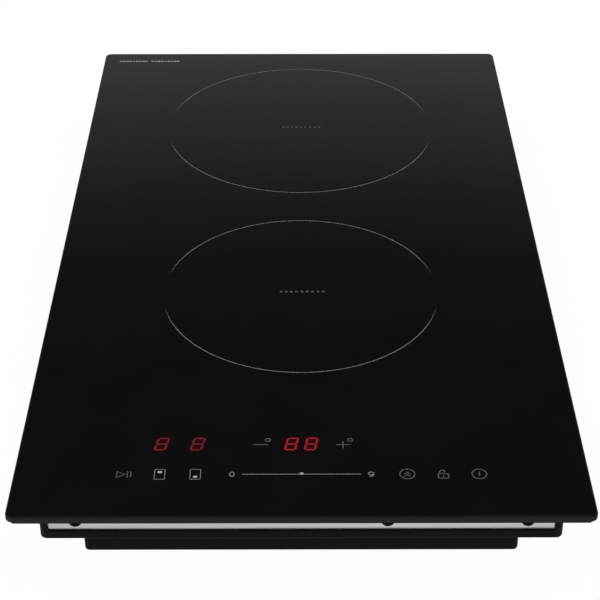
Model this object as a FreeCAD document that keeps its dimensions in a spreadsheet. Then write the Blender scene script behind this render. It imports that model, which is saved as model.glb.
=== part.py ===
"""Built-in two-zone induction hob, 29 cm wide, with its case, coils, electronics, fan and clamps.

The origin is at the centre of the base. +Z is up through the glass and -Y faces the user.
"""
import FreeCAD, Part
import math
import os
import re

import Sketcher

Vector = FreeCAD.Vector

SIZES = {
    # glass plate
    "glass_width": 289.0,
    "glass_depth": 520.0,
    "glass_thick": 4.0,
    "glass_corner": 4.0,
    "glass_bevel": 0.7,
    "overall_height": 55.0,
    # foam seal and silicone bead under the glass
    "seal_inset": 2.2,
    "seal_width": 7.0,
    "seal_thick": 2.0,
    "bead_width": 6.0,
    "bead_thick": 0.6,
    # upper case, which drops into the worktop's cut-out
    "side_overhang": 13.9,
    "end_overhang": 12.0,
    "case_drop": 24.9,
    "case_corner": 3.5,
    "case_bend": 1.0,
    "sheet": 0.8,
    "front_lip": 5.15,
    "corner_post": 4.5,
    "fit_gap": 0.3,
    "hole_gap": 0.1,
    # frame that carries the glass
    "frame_flange": 10.0,
    # lower tray, set in from the case
    "side_step": 17.6,
    "end_step": 24.0,
    "tray_corner": 2.6,
    "tray_bend": 1.4,
    "tray_flange": 6.0,
    "deck_thick": 1.0,
    # vents
    "slot_width": 3.0,
    "slot_pitch": 6.5,
    "floor_slot": 24.0,
    "floor_slot_pitch": 12.4,
    "floor_slot_margin": 42.0,
    "floor_row_pitch": 32.0,
    "wall_slot": 13.0,
    "wall_slot_pitch": 9.1,
    "wall_slot_z": 8.0,
    "side_slot_margin": 60.0,
    "rear_slot_x": 30.0,
    # cooking zones
    "rear_zone_radius": 90.0,
    "rear_zone_margin": 117.0,
    "front_zone_radius": 80.0,
    "front_zone_margin": 198.0,
    "coil_inset": 4.0,
    "coil_eye": 22.0,
    "winding_thick": 5.0,
    "turn_width": 4.0,
    "carrier_thick": 5.0,
    "carrier_rim": 2.0,
    "mica_thick": 0.5,
    "glass_gap": 0.3,
    "ferrite_width": 14.0,
    "ferrite_thick": 3.5,
    "ferrite_fit": 0.1,
    "ferrite_inner": 3.0,
    "ferrite_outer": 3.0,
    "sensor_radius": 5.0,
    "collar_radius": 13.0,
    "collar_thick": 2.0,
    "spring_radius": 4.5,
    "spring_wire": 0.5,
    "spring_turns": 3.0,
    "spring_inset": 24.0,
    "lead_radius": 1.5,
    "lead_gap": 8.0,
    "lead_x": -45.0,
    "lead_inset": 11.0,
    "lead_hole": 9.0,
    "lead_bend": 4.0,
    "front_lead_offset": 42.0,
    "rear_lead_offset": 88.0,
    # blower
    "fan_margin": 14.2,
    "fan_gap": 6.0,
    "fan_side": 84.0,
    "fan_tall": 22.0,
    "fan_wall": 1.5,
    "fan_corner": 6.0,
    "lug_inset": 4.5,
    "volute_radius": 37.0,
    "inlet_radius": 25.0,
    "outlet_width": 48.0,
    "wheel_radius": 32.0,
    "wheel_tall": 11.0,
    "wheel_rise": 2.5,
    "wheel_disc": 1.0,
    "hub_radius": 16.0,
    "hub_wall": 1.5,
    "blade_thick": 0.8,
    "blade_depth": 8.0,
    "blade_inset": 0.6,
    "blade_lean": 14.0,
    "shaft_radius": 2.0,
    "shaft_play": 0.05,
    "shaft_room": 4.0,
    "stator_radius": 12.0,
    "stator_thick": 4.0,
    "sleeve_wall": 2.0,
    "sleeve_gap": 8.0,
    "fan_lead_radius": 1.0,
    "fan_lead_z": 3.0,
    # power board
    "board_y": -50.0,
    "board_width": 190.0,
    "board_depth": 200.0,
    "board_thick": 1.6,
    "board_corner": 3.0,
    "standoff_tall": 6.0,
    "standoff_radius": 3.2,
    "standoff_inset": 7.0,
    "part_corner": 1.5,
    "sink_x": 58.0,
    "sink_offset": 20.0,
    "sink_width": 46.0,
    "sink_length": 145.0,
    "sink_base": 3.0,
    "sink_clear": 3.3,
    "fin_thick": 1.4,
    "transistor_thick": 5.0,
    "transistor_width": 16.0,
    "transistor_clear": 6.3,
    "transistor_hole": 1.6,
    "transistor_hole_drop": 4.0,
    "transistor_offset": 15.0,
    "transistor_pitch": 45.0,
    "film_width": 24.0,
    "film_depth": 13.0,
    "film_clear": 3.3,
    "film_x": 2.0,
    "film_offset": -40.0,
    "film_pitch": 20.0,
    "link_width": 40.0,
    "link_depth": 18.0,
    "link_clear": 2.3,
    "link_x": -2.0,
    "link_offset": 62.0,
    "core_width": 30.0,
    "core_depth": 26.0,
    "core_clear": 3.3,
    "core_x": -66.0,
    "core_offset": -52.0,
    "window_depth": 7.0,
    "window_rim": 3.5,
    "window_step": 11.0,
    "former_width": 22.0,
    "former_depth": 36.0,
    "former_clear": 5.3,
    "socket_side": 7.0,
    "socket_tall": 4.0,
    "fan_socket_gap": 6.0,
    "fan_socket_offset": 92.0,
    "fan_socket_width": 10.0,
    "fan_socket_depth": 8.0,
    "fan_socket_tall": 6.0,
    "ribbon_socket_depth": 8.0,
    "ribbon_socket_inset": 6.0,
    # filter board and mains terminals, placed from the rear wall
    "filter_x": 27.0,
    "filter_margin": 32.0,
    "filter_width": 126.0,
    "filter_depth": 48.0,
    "choke_x": 1.0,
    "choke_radius": 13.0,
    "choke_wire": 5.0,
    "choke_foot": 1.2,
    "filter_film_x": 41.0,
    "filter_film_width": 26.0,
    "filter_film_depth": 11.0,
    "filter_film_clear": 5.3,
    "filter_film_step": 9.0,
    "fuse_x": 61.0,
    "fuse_radius": 2.6,
    "fuse_length": 20.0,
    "fuse_z": 5.0,
    "clip_width": 4.0,
    "clip_depth": 7.0,
    "clip_tall": 8.5,
    "clip_inset": 2.0,
    "mains_x": -80.0,
    "terminal_margin": 38.0,
    "terminal_width": 52.0,
    "terminal_depth": 20.0,
    "terminal_tall": 14.0,
    "terminal_screw": 6.5,
    "way_pitch": 10.0,
    "way_z": 5.0,
    "cover_gap": 1.0,
    "cover_wall": 1.5,
    "cover_room": 4.5,
    "passage_tall": 10.0,
    "cable_radius": 4.75,
    "cable_z": 13.0,
    "bush_wall": 2.5,
    "bush_lip": 1.8,
    "bush_play": 0.05,
    "saddle_width": 30.0,
    "saddle_depth": 8.0,
    "saddle_wall": 3.0,
    "saddle_margin": 11.0,
    "saddle_split": 1.0,
    "bolt_x": 10.5,
    "mains_wire": 1.4,
    "mains_bend": 3.5,
    "mains_drop": 10.0,
    "mains_gap": 4.0,
    "mains_margin": 7.0,
    "mains_shift": 1.0,
    "mains_end": 5.0,
    # controls, placed from the front edge of the glass
    "control_margin": 57.0,
    "control_width": 224.0,
    "control_depth": 64.0,
    "control_corner": 3.0,
    "carrier_wall": 2.0,
    "buzzer_x": 92.0,
    "buzzer_radius": 6.0,
    "buzzer_tall": 4.0,
    "display_tall": 3.0,
    "display_rim": 1.0,
    "display_recess": 0.3,
    "timer_x": 0.7,
    "display_margin": 56.2,
    "digit_width": 12.0,
    "digit_depth": 16.0,
    "key_margin": 32.2,
    "pad_radius": 3.6,
    "ribbon_x": -70.0,
    "ribbon_width": 20.0,
    "ribbon_thick": 1.0,
    "ribbon_bend": 4.0,
    "ribbon_inset": 3.0,
    "ribbon_room": 8.0,
    "ribbon_z": 4.0,
    # fasteners
    "screw_radius": 1.4,
    "head_radius": 3.2,
    "head_tall": 1.7,
    "head_lap": 0.2,
    "recess_width": 0.8,
    "recess_length": 3.5,
    "recess_floor": 0.75,
    "bore_reach": 3.0,
    "wall_reach": 6.0,
    "wall_screw": 5.0,
    "screw_x": 90.0,
    "screw_y": 190.0,
    "screw_rise": 2.0,
    "left_screw_x": -112.6,
    "middle_screw_x": 43.0,
    "right_screw_x": 112.7,
    # worktop clamps
    "clamp_inset": 6.5,
    "clamp_y": 150.0,
    "clamp_radius": 2.0,
    "clamp_width": 10.6,
    "clamp_length": 40.0,
    "clamp_thick": 2.0,
    "clamp_drop": 8.5,
    "clamp_tooth": 2.0,
    "clamp_wall": 1.6,
    "tooth_thick": 1.6,
    "tooth_inset": 1.5,
    "stud_gap": 0.4,
    "stud_head": 2.4,
    "stud_slot": 0.8,
}

DOC = FreeCAD.newDocument("induction_hob")
SHEET = DOC.addObject("Spreadsheet::Sheet", "Sizes")
NODES = {}

CASE_WIDTH = "(glass_width - 2 * side_overhang)"
CASE_DEPTH = "(glass_depth - 2 * end_overhang)"
TRAY_WIDTH = "(glass_width - 2 * side_overhang - 2 * side_step)"
TRAY_DEPTH = "(glass_depth - 2 * end_overhang - 2 * end_step)"
GLASS_UNDER = "(overall_height - glass_thick)"
CASE_BASE = "(overall_height - case_drop)"
RING_TOP = "(overall_height - case_drop + sheet)"
TRAY_TOP = "(overall_height - case_drop + 2 * sheet)"
DECK_TOP = "(overall_height - case_drop + 2 * sheet + deck_thick)"
FRAME_TOP = "(overall_height - glass_thick - bead_thick)"
MICA_TOP = "(overall_height - glass_thick - glass_gap)"
WINDING_TOP = "(overall_height - glass_thick - glass_gap - mica_thick)"
CARRIER_TOP = "(overall_height - glass_thick - glass_gap - mica_thick - winding_thick)"
CARRIER_BASE = "(overall_height - glass_thick - glass_gap - mica_thick - winding_thick - carrier_thick)"
BOARD_BASE = "(sheet + standoff_tall)"
BOARD_TOP = "(sheet + standoff_tall + board_thick)"
REAR_ZONE_Y = "(glass_depth / 2 - rear_zone_margin)"
FRONT_ZONE_Y = "(front_zone_margin - glass_depth / 2)"
CONTROL_Y = "(control_margin - glass_depth / 2)"
DISPLAY_Y = "(display_margin - glass_depth / 2)"
KEY_Y = "(key_margin - glass_depth / 2)"
RIBBON_Y = "(control_margin - glass_depth / 2 + control_depth / 2 - ribbon_inset)"
CONTROL_TOP = "(overall_height - glass_thick - glass_gap - display_tall)"
FILTER_Y = "(glass_depth / 2 - end_overhang - end_step - filter_margin)"
FAN_X = "(glass_width / 2 - side_overhang - side_step - sheet - fan_margin - fan_side / 2)"
FAN_Y = ("(glass_depth / 2 - end_overhang - end_step - filter_margin - filter_depth / 2 - fan_gap"
         " - fan_side / 2)")
TERMINAL_Y = "(glass_depth / 2 - end_overhang - end_step - terminal_margin)"
REAR_WALL_Y = "(glass_depth / 2 - end_overhang - end_step)"
REAR_LEAD_Y = "(glass_depth / 2 - rear_zone_margin - rear_zone_radius + lead_inset)"
FRONT_LEAD_Y = "(front_zone_margin - glass_depth / 2 + front_lead_offset)"
CLAMP_X = "(glass_width / 2 - side_overhang - clamp_inset)"

FRONT_SCREWS = ("left_screw_x", "middle_screw_x", "right_screw_x")
CORNERS = tuple((x, y) for x in (-1, 1) for y in (-1, 1))
FIN_COUNT = 9
BLADE_COUNT = 22
SPRING_COUNT = 3
WIRE_SIDES = 8
FERRITE_COUNT = 8
INLET_SLOTS = range(-3, 4)
FLOOR_SLOTS = 14
SIDE_SLOTS = 8
REAR_SLOTS = 9
TERMINAL_WAYS = 5
# Sideways places of the touch pads under the front row of keys, and of the timer's two.
KEY_XS = (-89, -71, -53, -35, -24, -12, 0, 12, 24, 35, 53, 71, 89)
TIMER_KEY_XS = (-21.5, 22.5)
ZONE_DIGIT_XS = (-71.4, -52.9)
# A litz turn's crown stands this share of its pitch above its shoulders.
CROWN_SHARE = 0.22
TOLERANCE = 1e-6

X_AXIS = Vector(1, 0, 0)
Y_AXIS = Vector(0, 1, 0)
Z_AXIS = Vector(0, 0, 1)

# Turns that point an object's own +Z to one side of the hob.
TURNS = {
    "front": (X_AXIS, 90),
    "back": (X_AXIS, -90),
    "right": (Y_AXIS, 90),
    "left": (Y_AXIS, -90),
    "down": (X_AXIS, 180),
}


def fill_sheet():
    """Write each driving size into the sheet, one row each, with its alias."""
    for row, (alias, value) in enumerate(SIZES.items(), start=1):
        SHEET.set(f"A{row}", alias)
        SHEET.set(f"B{row}", str(value))
        SHEET.setAlias(f"B{row}", alias)
    DOC.recompute()


def size(alias):
    """Read one driving size back from the sheet."""
    return float(SHEET.get(alias))


def in_sheet(found):
    """Name the sheet before a word that is one of its aliases."""
    word = found.group(0)
    return f"Sizes.{word}" if word in SIZES else word


def bind(target, prop, expression):
    """Bind a property to an expression written in the sheet's aliases."""
    target.setExpression(prop, re.sub(r"[a-z_][a-z0-9_]*", in_sheet, str(expression)))


def place(target, x="0", y="0", z="0", turn=None):
    """Bind an object's place, after an optional turn named in TURNS."""
    if turn:
        target.Placement = FreeCAD.Placement(Vector(), FreeCAD.Rotation(*TURNS[turn]))
    for axis, expression in zip("xyz", (x, y, z)):
        bind(target, f"Placement.Base.{axis}", expression)
    return target


def box(width, depth, tall, x="0", y="0", z="0"):
    """A box centred on x and y that stands on z."""
    target = DOC.addObject("Part::Box", "Box")
    bind(target, "Length", width)
    bind(target, "Width", depth)
    bind(target, "Height", tall)
    return place(target, f"({x}) - ({width}) / 2", f"({y}) - ({depth}) / 2", z)


def rod(radius, length, x="0", y="0", z="0", turn=None):
    """A cylinder that starts at a point and runs along +Z, or where the turn points it."""
    target = DOC.addObject("Part::Cylinder", "Rod")
    bind(target, "Radius", radius)
    bind(target, "Height", length)
    return place(target, x, y, z, turn)


def merge(kind, members):
    """Gather objects into one Part::MultiFuse or Part::Compound."""
    if len(members) == 1:
        return members[0]
    target = DOC.addObject(kind, kind.split("::")[1])
    if kind == "Part::Compound":
        target.Links = members
    else:
        target.Shapes = members
    return target


def fuse(*members):
    """Join objects into one solid."""
    return merge("Part::MultiFuse", list(members))


def group(members):
    """Keep objects as separate solids of one shape."""
    return merge("Part::Compound", list(members))


def cut(base, *tools):
    """Take the tools away from the base."""
    target = DOC.addObject("Part::Cut", "Cut")
    target.Base = base
    target.Tool = merge("Part::MultiFuse", list(tools))
    return target


def origin_plane(body, role):
    """One of a body's own reference planes."""
    return next(plane for plane in body.Origin.OriginFeatures if plane.Role == role)


def rectangle_sketch(body, width, depth):
    """A sketch on the body's XY plane with one rectangle centred on its origin."""
    sketch = body.newObject("Sketcher::SketchObject", "Outline")
    sketch.AttachmentSupport = (origin_plane(body, "XY_Plane"), [""])
    sketch.MapMode = "FlatFace"
    corners = ((-1, -1), (1, -1), (1, 1), (-1, 1))
    for index, (x, y) in enumerate(corners):
        next_x, next_y = corners[(index + 1) % 4]
        sketch.addGeometry(Part.LineSegment(Vector(x, y, 0), Vector(next_x, next_y, 0)), False)
    for index, (x, y) in enumerate(corners):
        sketch.addConstraint(Sketcher.Constraint("Coincident", index, 2, (index + 1) % 4, 1))
        for kind, side, span in (("DistanceX", x, width), ("DistanceY", y, depth)):
            row = sketch.addConstraint(Sketcher.Constraint(kind, -1, 1, index, 1, float(side)))
            bind(sketch, f"Constraints[{row}]", f"{side} * ({span}) / 2")
    return sketch


def upright_edges(shape):
    """Names of the straight edges that run along Z."""
    names = []
    for number, edge in enumerate(shape.Edges, start=1):
        bounds = edge.BoundBox
        if bounds.XLength < TOLERANCE and bounds.YLength < TOLERANCE:
            names.append(f"Edge{number}")
    return names


def level_edges(shape, top):
    """Names of the edges that lie in the shape's top or bottom plane."""
    level = shape.BoundBox.ZMax if top else shape.BoundBox.ZMin
    names = []
    for number, edge in enumerate(shape.Edges, start=1):
        bounds = edge.BoundBox
        if bounds.ZLength < TOLERANCE and abs(bounds.ZMin - level) < TOLERANCE:
            names.append(f"Edge{number}")
    return names


def slab(width, depth, tall, corner, x="0", y="0", z="0", bend=None, bevel=None):
    """A plate with rounded corners, and an optional bottom bend or bevelled edges.

    It is a PartDesign body: a padded rectangle, a fillet on its upright edges, then a
    fillet on its bottom edges (bend) or a chamfer on its top and bottom edges (bevel).
    """
    body = DOC.addObject("PartDesign::Body", "Slab")
    sketch = rectangle_sketch(body, width, depth)
    pad = body.newObject("PartDesign::Pad", "Pad")
    pad.Profile = sketch
    bind(pad, "Length", tall)
    DOC.recompute([sketch, pad])
    corners = body.newObject("PartDesign::Fillet", "Corners")
    corners.Base = (pad, upright_edges(pad.Shape))
    bind(corners, "Radius", corner)
    DOC.recompute([corners])
    if bend:
        foot = body.newObject("PartDesign::Fillet", "Bend")
        foot.Base = (corners, level_edges(corners.Shape, top=False))
        bind(foot, "Radius", bend)
    if bevel:
        edges = level_edges(corners.Shape, top=True) + level_edges(corners.Shape, top=False)
        chamfer = body.newObject("PartDesign::Chamfer", "Bevel")
        chamfer.Base = (corners, edges)
        bind(chamfer, "Size", bevel)
    return place(body, x, y, z)


def ring_plate(width, depth, border, tall, corner, z):
    """A flat rectangular ring of one border width."""
    outer = slab(width, depth, tall, corner, z=z)
    inner = box(f"{width} - 2 * {border}", f"{depth} - 2 * {border}", f"{tall} + 2", z=f"{z} - 1")
    return cut(outer, inner)


def shell(width, depth, tall, wall, corner, z, x="0", y="0", bend=None, floor=None):
    """An open-topped box of sheet: the outside less the inside."""
    floor = floor or wall
    outer = slab(width, depth, tall, corner, x=x, y=y, z=z, bend=bend)
    inner_bend = f"({bend}) - ({wall})" if bend else None
    inner = slab(f"({width}) - 2 * ({wall})", f"({depth}) - 2 * ({wall})", tall,
                 f"({corner}) - ({wall})", x=x, y=y, z=f"({z}) + ({floor})", bend=inner_bend)
    return cut(outer, inner)


def screw(x, y, z, length, turn=None):
    """A cross-recessed pan-head screw: the head's seat is at the point, the head towards +Z."""
    shank = rod("screw_radius", f"{length} + head_lap", z=f"0 - ({length})")
    head = DOC.addObject("Part::Sphere", "Head")
    dome = "((head_radius ^ 2 + head_tall ^ 2) / (2 * head_tall))"
    bind(head, "Radius", dome)
    bind(head, "Angle1", f"asin(({dome} - head_tall) / {dome})")
    place(head, z=f"head_tall - {dome}")
    recess = fuse(box("recess_width", "recess_length", "head_tall", z="recess_floor"),
                  box("recess_length", "recess_width", "head_tall", z="recess_floor"))
    return place(cut(fuse(shank, head), recess), x, y, z, turn)


def bore(x, y, level, radius="screw_radius"):
    """A clearance hole through the sheets about a level."""
    return rod(f"{radius} + hole_gap", "2 * bore_reach", x, y, f"{level} - bore_reach")


def wire(route, radius, bend):
    """A wire along straight runs joined by tangent arcs, as one swept solid."""
    points = [Vector(*point) for point in route]
    edges = []
    start = points[0]
    for before, corner, after in zip(points, points[1:], points[2:]):
        into = (corner - before).normalize()
        away = (after - corner).normalize()
        setback = bend * abs(into.cross(away).Length) / (1 + into.dot(away))
        arc_start = corner - into * setback
        arc_end = corner + away * setback
        middle = corner + (away - into).normalize() * (
            (setback ** 2 + bend ** 2) ** 0.5 - bend)
        edges.append(Part.LineSegment(start, arc_start).toShape())
        edges.append(Part.Arc(arc_start, middle, arc_end).toShape())
        start = arc_end
    edges.append(Part.LineSegment(start, points[-1]).toShape())
    path = Part.Wire(edges)
    heading = (points[1] - points[0]).normalize()
    profile = Part.Wire([Part.Circle(points[0], heading, radius).toShape()])
    solid = path.makePipeShell([profile], True, False)
    expected = math.pi * radius ** 2 * path.Length
    if abs(solid.Volume - expected) > 0.01 * expected:
        raise ValueError(f"a wire's volume is {solid.Volume:.2f}, not {expected:.2f}")
    return solid


def wire_node(name, routes, radius, bend):
    """One node of wires, each along its own route."""
    target = DOC.addObject("Part::Feature", "Wires")
    solids = [wire(route, radius, bend) for route in routes]
    target.Shape = solids[0] if len(solids) == 1 else Part.makeCompound(solids)
    target.Placement = FreeCAD.Placement()
    return node(name, target)


def node(name, target):
    """Name an object as one node of the hob."""
    target.Label = name
    NODES[name] = target
    return target


def glass():
    """The ceramic plate, its silicone bead and the foam seal under its overhang."""
    node("glass_top", slab("glass_width", "glass_depth", "glass_thick", "glass_corner",
                           z=GLASS_UNDER, bevel="glass_bevel"))
    node("foam_seal", ring_plate("(glass_width - 2 * seal_inset)", "(glass_depth - 2 * seal_inset)",
                                 "seal_width", "seal_thick", "glass_corner - seal_inset",
                                 f"{GLASS_UNDER} - seal_thick"))
    width = f"({CASE_WIDTH} - 2 * sheet - 2 * fit_gap)"
    depth = f"({CASE_DEPTH} - 2 * sheet - 2 * fit_gap)"
    node("glass_adhesive", ring_plate(width, depth, "bead_width", "bead_thick",
                                      "case_corner - sheet - fit_gap", FRAME_TOP))


def wall_screws():
    """Places and turns of the screws in the case's side and rear walls."""
    level = f"{CASE_BASE} + front_lip + head_radius + screw_rise"
    places = []
    for x in ("-screw_x", "0", "screw_x"):
        places.append((x, f"{CASE_DEPTH} / 2", level, "back"))
    for y in ("-screw_y", "0", "screw_y"):
        places.append((f"{CASE_WIDTH} / 2", y, level, "right"))
        places.append((f"0 - {CASE_WIDTH} / 2", y, level, "left"))
    return places


def front_screws():
    """Places of the three screws in the frame's front wall, between the corner posts."""
    level = f"{CASE_BASE} + front_lip + head_radius + screw_rise"
    seat = f"sheet + fit_gap - {CASE_DEPTH} / 2"
    return [(x, seat, level, "front") for x in FRONT_SCREWS]


def deep_hole(place_and_turn):
    """A clearance hole along a wall screw's axis, through the walls on both sides of its seat."""
    x, y, z, turn = place_and_turn
    starts = {"front": (x, f"({y}) + wall_reach", z), "back": (x, f"({y}) - wall_reach", z),
              "right": (f"({x}) - wall_reach", y, z), "left": (f"({x}) + wall_reach", y, z)}
    return rod("screw_radius + hole_gap", "2 * wall_reach", *starts[turn], turn=turn)


def frame():
    """The bright sheet frame that carries the glass, and its screws."""
    width = f"({CASE_WIDTH} - 2 * sheet - 2 * fit_gap)"
    depth = f"({CASE_DEPTH} - 2 * sheet - 2 * fit_gap)"
    corner = "(case_corner - sheet - fit_gap)"
    wall = slab(width, depth, f"{FRAME_TOP} - {DECK_TOP}", corner, z=DECK_TOP)
    inside = slab(f"{width} - 2 * sheet", f"{depth} - 2 * sheet", f"{FRAME_TOP} - {DECK_TOP}",
                  f"{corner} - sheet", z=f"{DECK_TOP} - sheet")
    opening = slab(f"{width} - 2 * frame_flange", f"{depth} - 2 * frame_flange", "sheet * 3", corner,
                   z=f"{FRAME_TOP} - sheet * 2")
    holes = [deep_hole(seat) for seat in wall_screws() + front_screws()]
    node("support_frame", cut(wall, inside, opening, *holes))
    for name, places in (("frame_screws", front_screws()), ("case_screws", wall_screws())):
        node(name, group([screw(x, y, z, "wall_screw", turn) for x, y, z, turn in places]))


def ring_screw_places():
    """The eight screws that hold the tray's flange up to the case, through the deck."""
    x = f"({TRAY_WIDTH} / 2 + fit_gap + tray_flange / 2)"
    return [(f"{side} * {x}", f"{share} * screw_y") for side in (-1, 1) for share in (-1, -0.33, 0.33, 1)]


def clamp_places():
    """The four clamp pivots: node name, side (-1 left), end (-1 front)."""
    names = {(-1, -1): "clamp_front_left", (1, -1): "clamp_front_right",
             (-1, 1): "clamp_rear_left", (1, 1): "clamp_rear_right"}
    return [(names[corner], *corner) for corner in CORNERS]


def case():
    """The black upper case: walls, corner posts and the ring that the tray hangs from."""
    body = shell(CASE_WIDTH, CASE_DEPTH, f"{FRAME_TOP} - {CASE_BASE}", "sheet", "case_corner", CASE_BASE,
                 bend="case_bend")
    opening = slab(f"{TRAY_WIDTH} + 2 * fit_gap", f"{TRAY_DEPTH} + 2 * fit_gap", "2 * bore_reach",
                   "tray_corner + fit_gap", z=f"{CASE_BASE} - bore_reach")
    window = box(f"{CASE_WIDTH} - 2 * corner_post", "4 * sheet", "overall_height",
                 y=f"0 - {CASE_DEPTH} / 2", z=f"{CASE_BASE} + front_lip")
    holes = [deep_hole(seat) for seat in wall_screws()]
    holes += [bore(x, y, CASE_BASE) for x, y in ring_screw_places()]
    holes += [bore(f"{side} * {CLAMP_X}", f"{end} * clamp_y", CASE_BASE, "clamp_radius")
              for _, side, end in clamp_places()]
    node("upper_case", cut(body, opening, window, *holes))


def slot_row(count, across, along, tall, x, y, z, pitch_x="0", pitch_y="0"):
    """A row of slots centred on a point."""
    slots = []
    for index in range(count):
        step = index - (count - 1) / 2
        slots.append(box(across, along, tall, f"{x} + {step} * {pitch_x}", f"{y} + {step} * {pitch_y}", z))
    return slots


def vents():
    """The tray's slots: over the fan's inlet, in the floor, in both sides and in the rear wall."""
    front = f"{TRAY_DEPTH} / 2"
    slots = []
    for index in INLET_SLOTS:
        reach = f"(2 * sqrt(inlet_radius ^ 2 - ({index} * slot_pitch) ^ 2))"
        slots.append(box("slot_width", reach, "4 * sheet", f"{FAN_X} + {index} * slot_pitch", FAN_Y,
                         "0 - sheet"))
    for side in (-1, 1):
        slots += slot_row(FLOOR_SLOTS, "slot_width", "floor_slot", "4 * sheet", "0",
                          f"floor_slot_margin + {side} * floor_row_pitch / 2 - {front}", "0 - sheet",
                          pitch_x="floor_slot_pitch")
        slots += slot_row(SIDE_SLOTS, "4 * sheet", "slot_width", "wall_slot", f"{side} * {TRAY_WIDTH} / 2",
                          f"side_slot_margin - {front}", "wall_slot_z", pitch_y="wall_slot_pitch")
    slots += slot_row(REAR_SLOTS, "slot_width", "4 * sheet", "wall_slot", "rear_slot_x", REAR_WALL_Y,
                      "wall_slot_z", pitch_x="wall_slot_pitch")
    return slots


def tray():
    """The black lower tray, its vents and the screws in its flange."""
    body = shell(TRAY_WIDTH, TRAY_DEPTH, TRAY_TOP, "sheet", "tray_corner", "0", bend="tray_bend")
    flange = slab(f"{TRAY_WIDTH} + 2 * tray_flange", f"{TRAY_DEPTH} + 2 * tray_flange", "sheet",
                  "tray_corner", z=RING_TOP)
    inner = slab(f"{TRAY_WIDTH} - 2 * sheet", f"{TRAY_DEPTH} - 2 * sheet", "sheet * 4", "tray_corner - sheet",
                 z=f"{RING_TOP} - sheet")
    rim = cut(flange, inner)
    bush_hole = rod("cable_radius + bush_wall + bush_play", "2 * bore_reach", "mains_x",
                    f"{REAR_WALL_Y} - bore_reach", "cable_z", "back")
    holes = [bore(x, y, RING_TOP) for x, y in ring_screw_places()]
    node("lower_tray", cut(fuse(body, rim), group(vents()), bush_hole, *holes))
    shank = "2 * sheet + deck_thick"
    node("tray_screws", group([screw(x, y, CASE_BASE, shank, "down") for x, y in ring_screw_places()]))


def deck():
    """The aluminium deck under the coils, with its cable openings."""
    plate = slab(f"{CASE_WIDTH} - 2 * sheet - 2 * fit_gap", f"{CASE_DEPTH} - 2 * sheet - 2 * fit_gap",
                 "deck_thick", "case_corner - sheet - fit_gap", z=TRAY_TOP)
    base = f"{TRAY_TOP} - bore_reach"
    tall = "2 * bore_reach"
    holes = [rod("lead_hole", tall, "lead_x + lead_gap / 2", y, base) for y in (REAR_LEAD_Y, FRONT_LEAD_Y)]
    holes += [rod("collar_radius + fit_gap", tall, "0", y, base) for y in (REAR_ZONE_Y, FRONT_ZONE_Y)]
    holes.append(box("ribbon_width + ribbon_room", "ribbon_room + 2 * ribbon_thick", tall, "ribbon_x",
                     RIBBON_Y, base))
    holes += [bore(x, y, TRAY_TOP) for x, y in ring_screw_places()]
    node("coil_deck", cut(plate, *holes))


def ferrite_bar(index, pocket_length, y, fit, z, tall):
    """One bar on a spoke of the carrier, or with fit its pocket."""
    angle = 360 * (index + 0.5) / FERRITE_COUNT
    length = f"({pocket_length} + 2 * {fit})"
    width = f"(ferrite_width + 2 * {fit})"
    bar = DOC.addObject("Part::Box", "Bar")
    bind(bar, "Length", length)
    bind(bar, "Width", width)
    bind(bar, "Height", tall)
    bar.Placement = FreeCAD.Placement(Vector(), FreeCAD.Rotation(Z_AXIS, angle))
    near = f"(coil_eye + ferrite_inner - {fit})"
    return place(bar, f"cos({angle}) * {near} + sin({angle}) * {width} / 2",
                 f"{y} + sin({angle}) * {near} - cos({angle}) * {width} / 2", z)


def coil(zone, radius, y):
    """One cooking zone: carrier, ferrites, winding, mica sheet and sensor, on three springs.

    Args:
        zone: the zone's name, which starts each node's name.
        radius: alias of the printed ring's radius.
        y: expression of the zone's centre.
    """
    outer = f"({radius} - coil_inset)"
    length = f"({outer} - coil_eye - ferrite_inner - ferrite_outer)"
    pockets = [ferrite_bar(index, length, y, "ferrite_fit", f"{CARRIER_BASE} - 1",
                           "ferrite_thick + 1 + ferrite_fit") for index in range(FERRITE_COUNT)]
    bars = [ferrite_bar(index, length, y, "0", CARRIER_BASE, "ferrite_thick")
            for index in range(FERRITE_COUNT)]
    disc = rod(f"{outer} + carrier_rim", "carrier_thick", "0", y, CARRIER_BASE)
    eye = rod("sensor_radius + 2 * fit_gap", "2 * carrier_thick", "0", y, f"{CARRIER_BASE} - 1")
    node(f"{zone}_coil_carrier", cut(disc, eye, *pockets))
    node(f"{zone}_ferrites", group(bars))
    node(f"{zone}_winding", winding(size(radius) - size("coil_inset"), y))
    sheet_disc = rod(f"{outer} + carrier_rim / 2", "mica_thick", "0", y, WINDING_TOP)
    node(f"{zone}_mica", cut(sheet_disc, rod("sensor_radius + fit_gap", "2 * mica_thick", "0", y,
                                             f"{WINDING_TOP} - mica_thick / 2")))
    cup = rod("sensor_radius", f"{MICA_TOP} - {CARRIER_BASE}", "0", y, CARRIER_BASE)
    collar = rod("collar_radius", "collar_thick", "0", y, CARRIER_TOP)
    node(f"{zone}_sensor", fuse(cup, collar))
    reach = f"({radius} - spring_inset)"
    angles = [90 + 360 * index / SPRING_COUNT for index in range(SPRING_COUNT)]
    node(f"{zone}_springs", group([spring(f"cos({angle}) * {reach}", f"{y} + sin({angle}) * {reach}")
                                   for angle in angles]))


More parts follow.
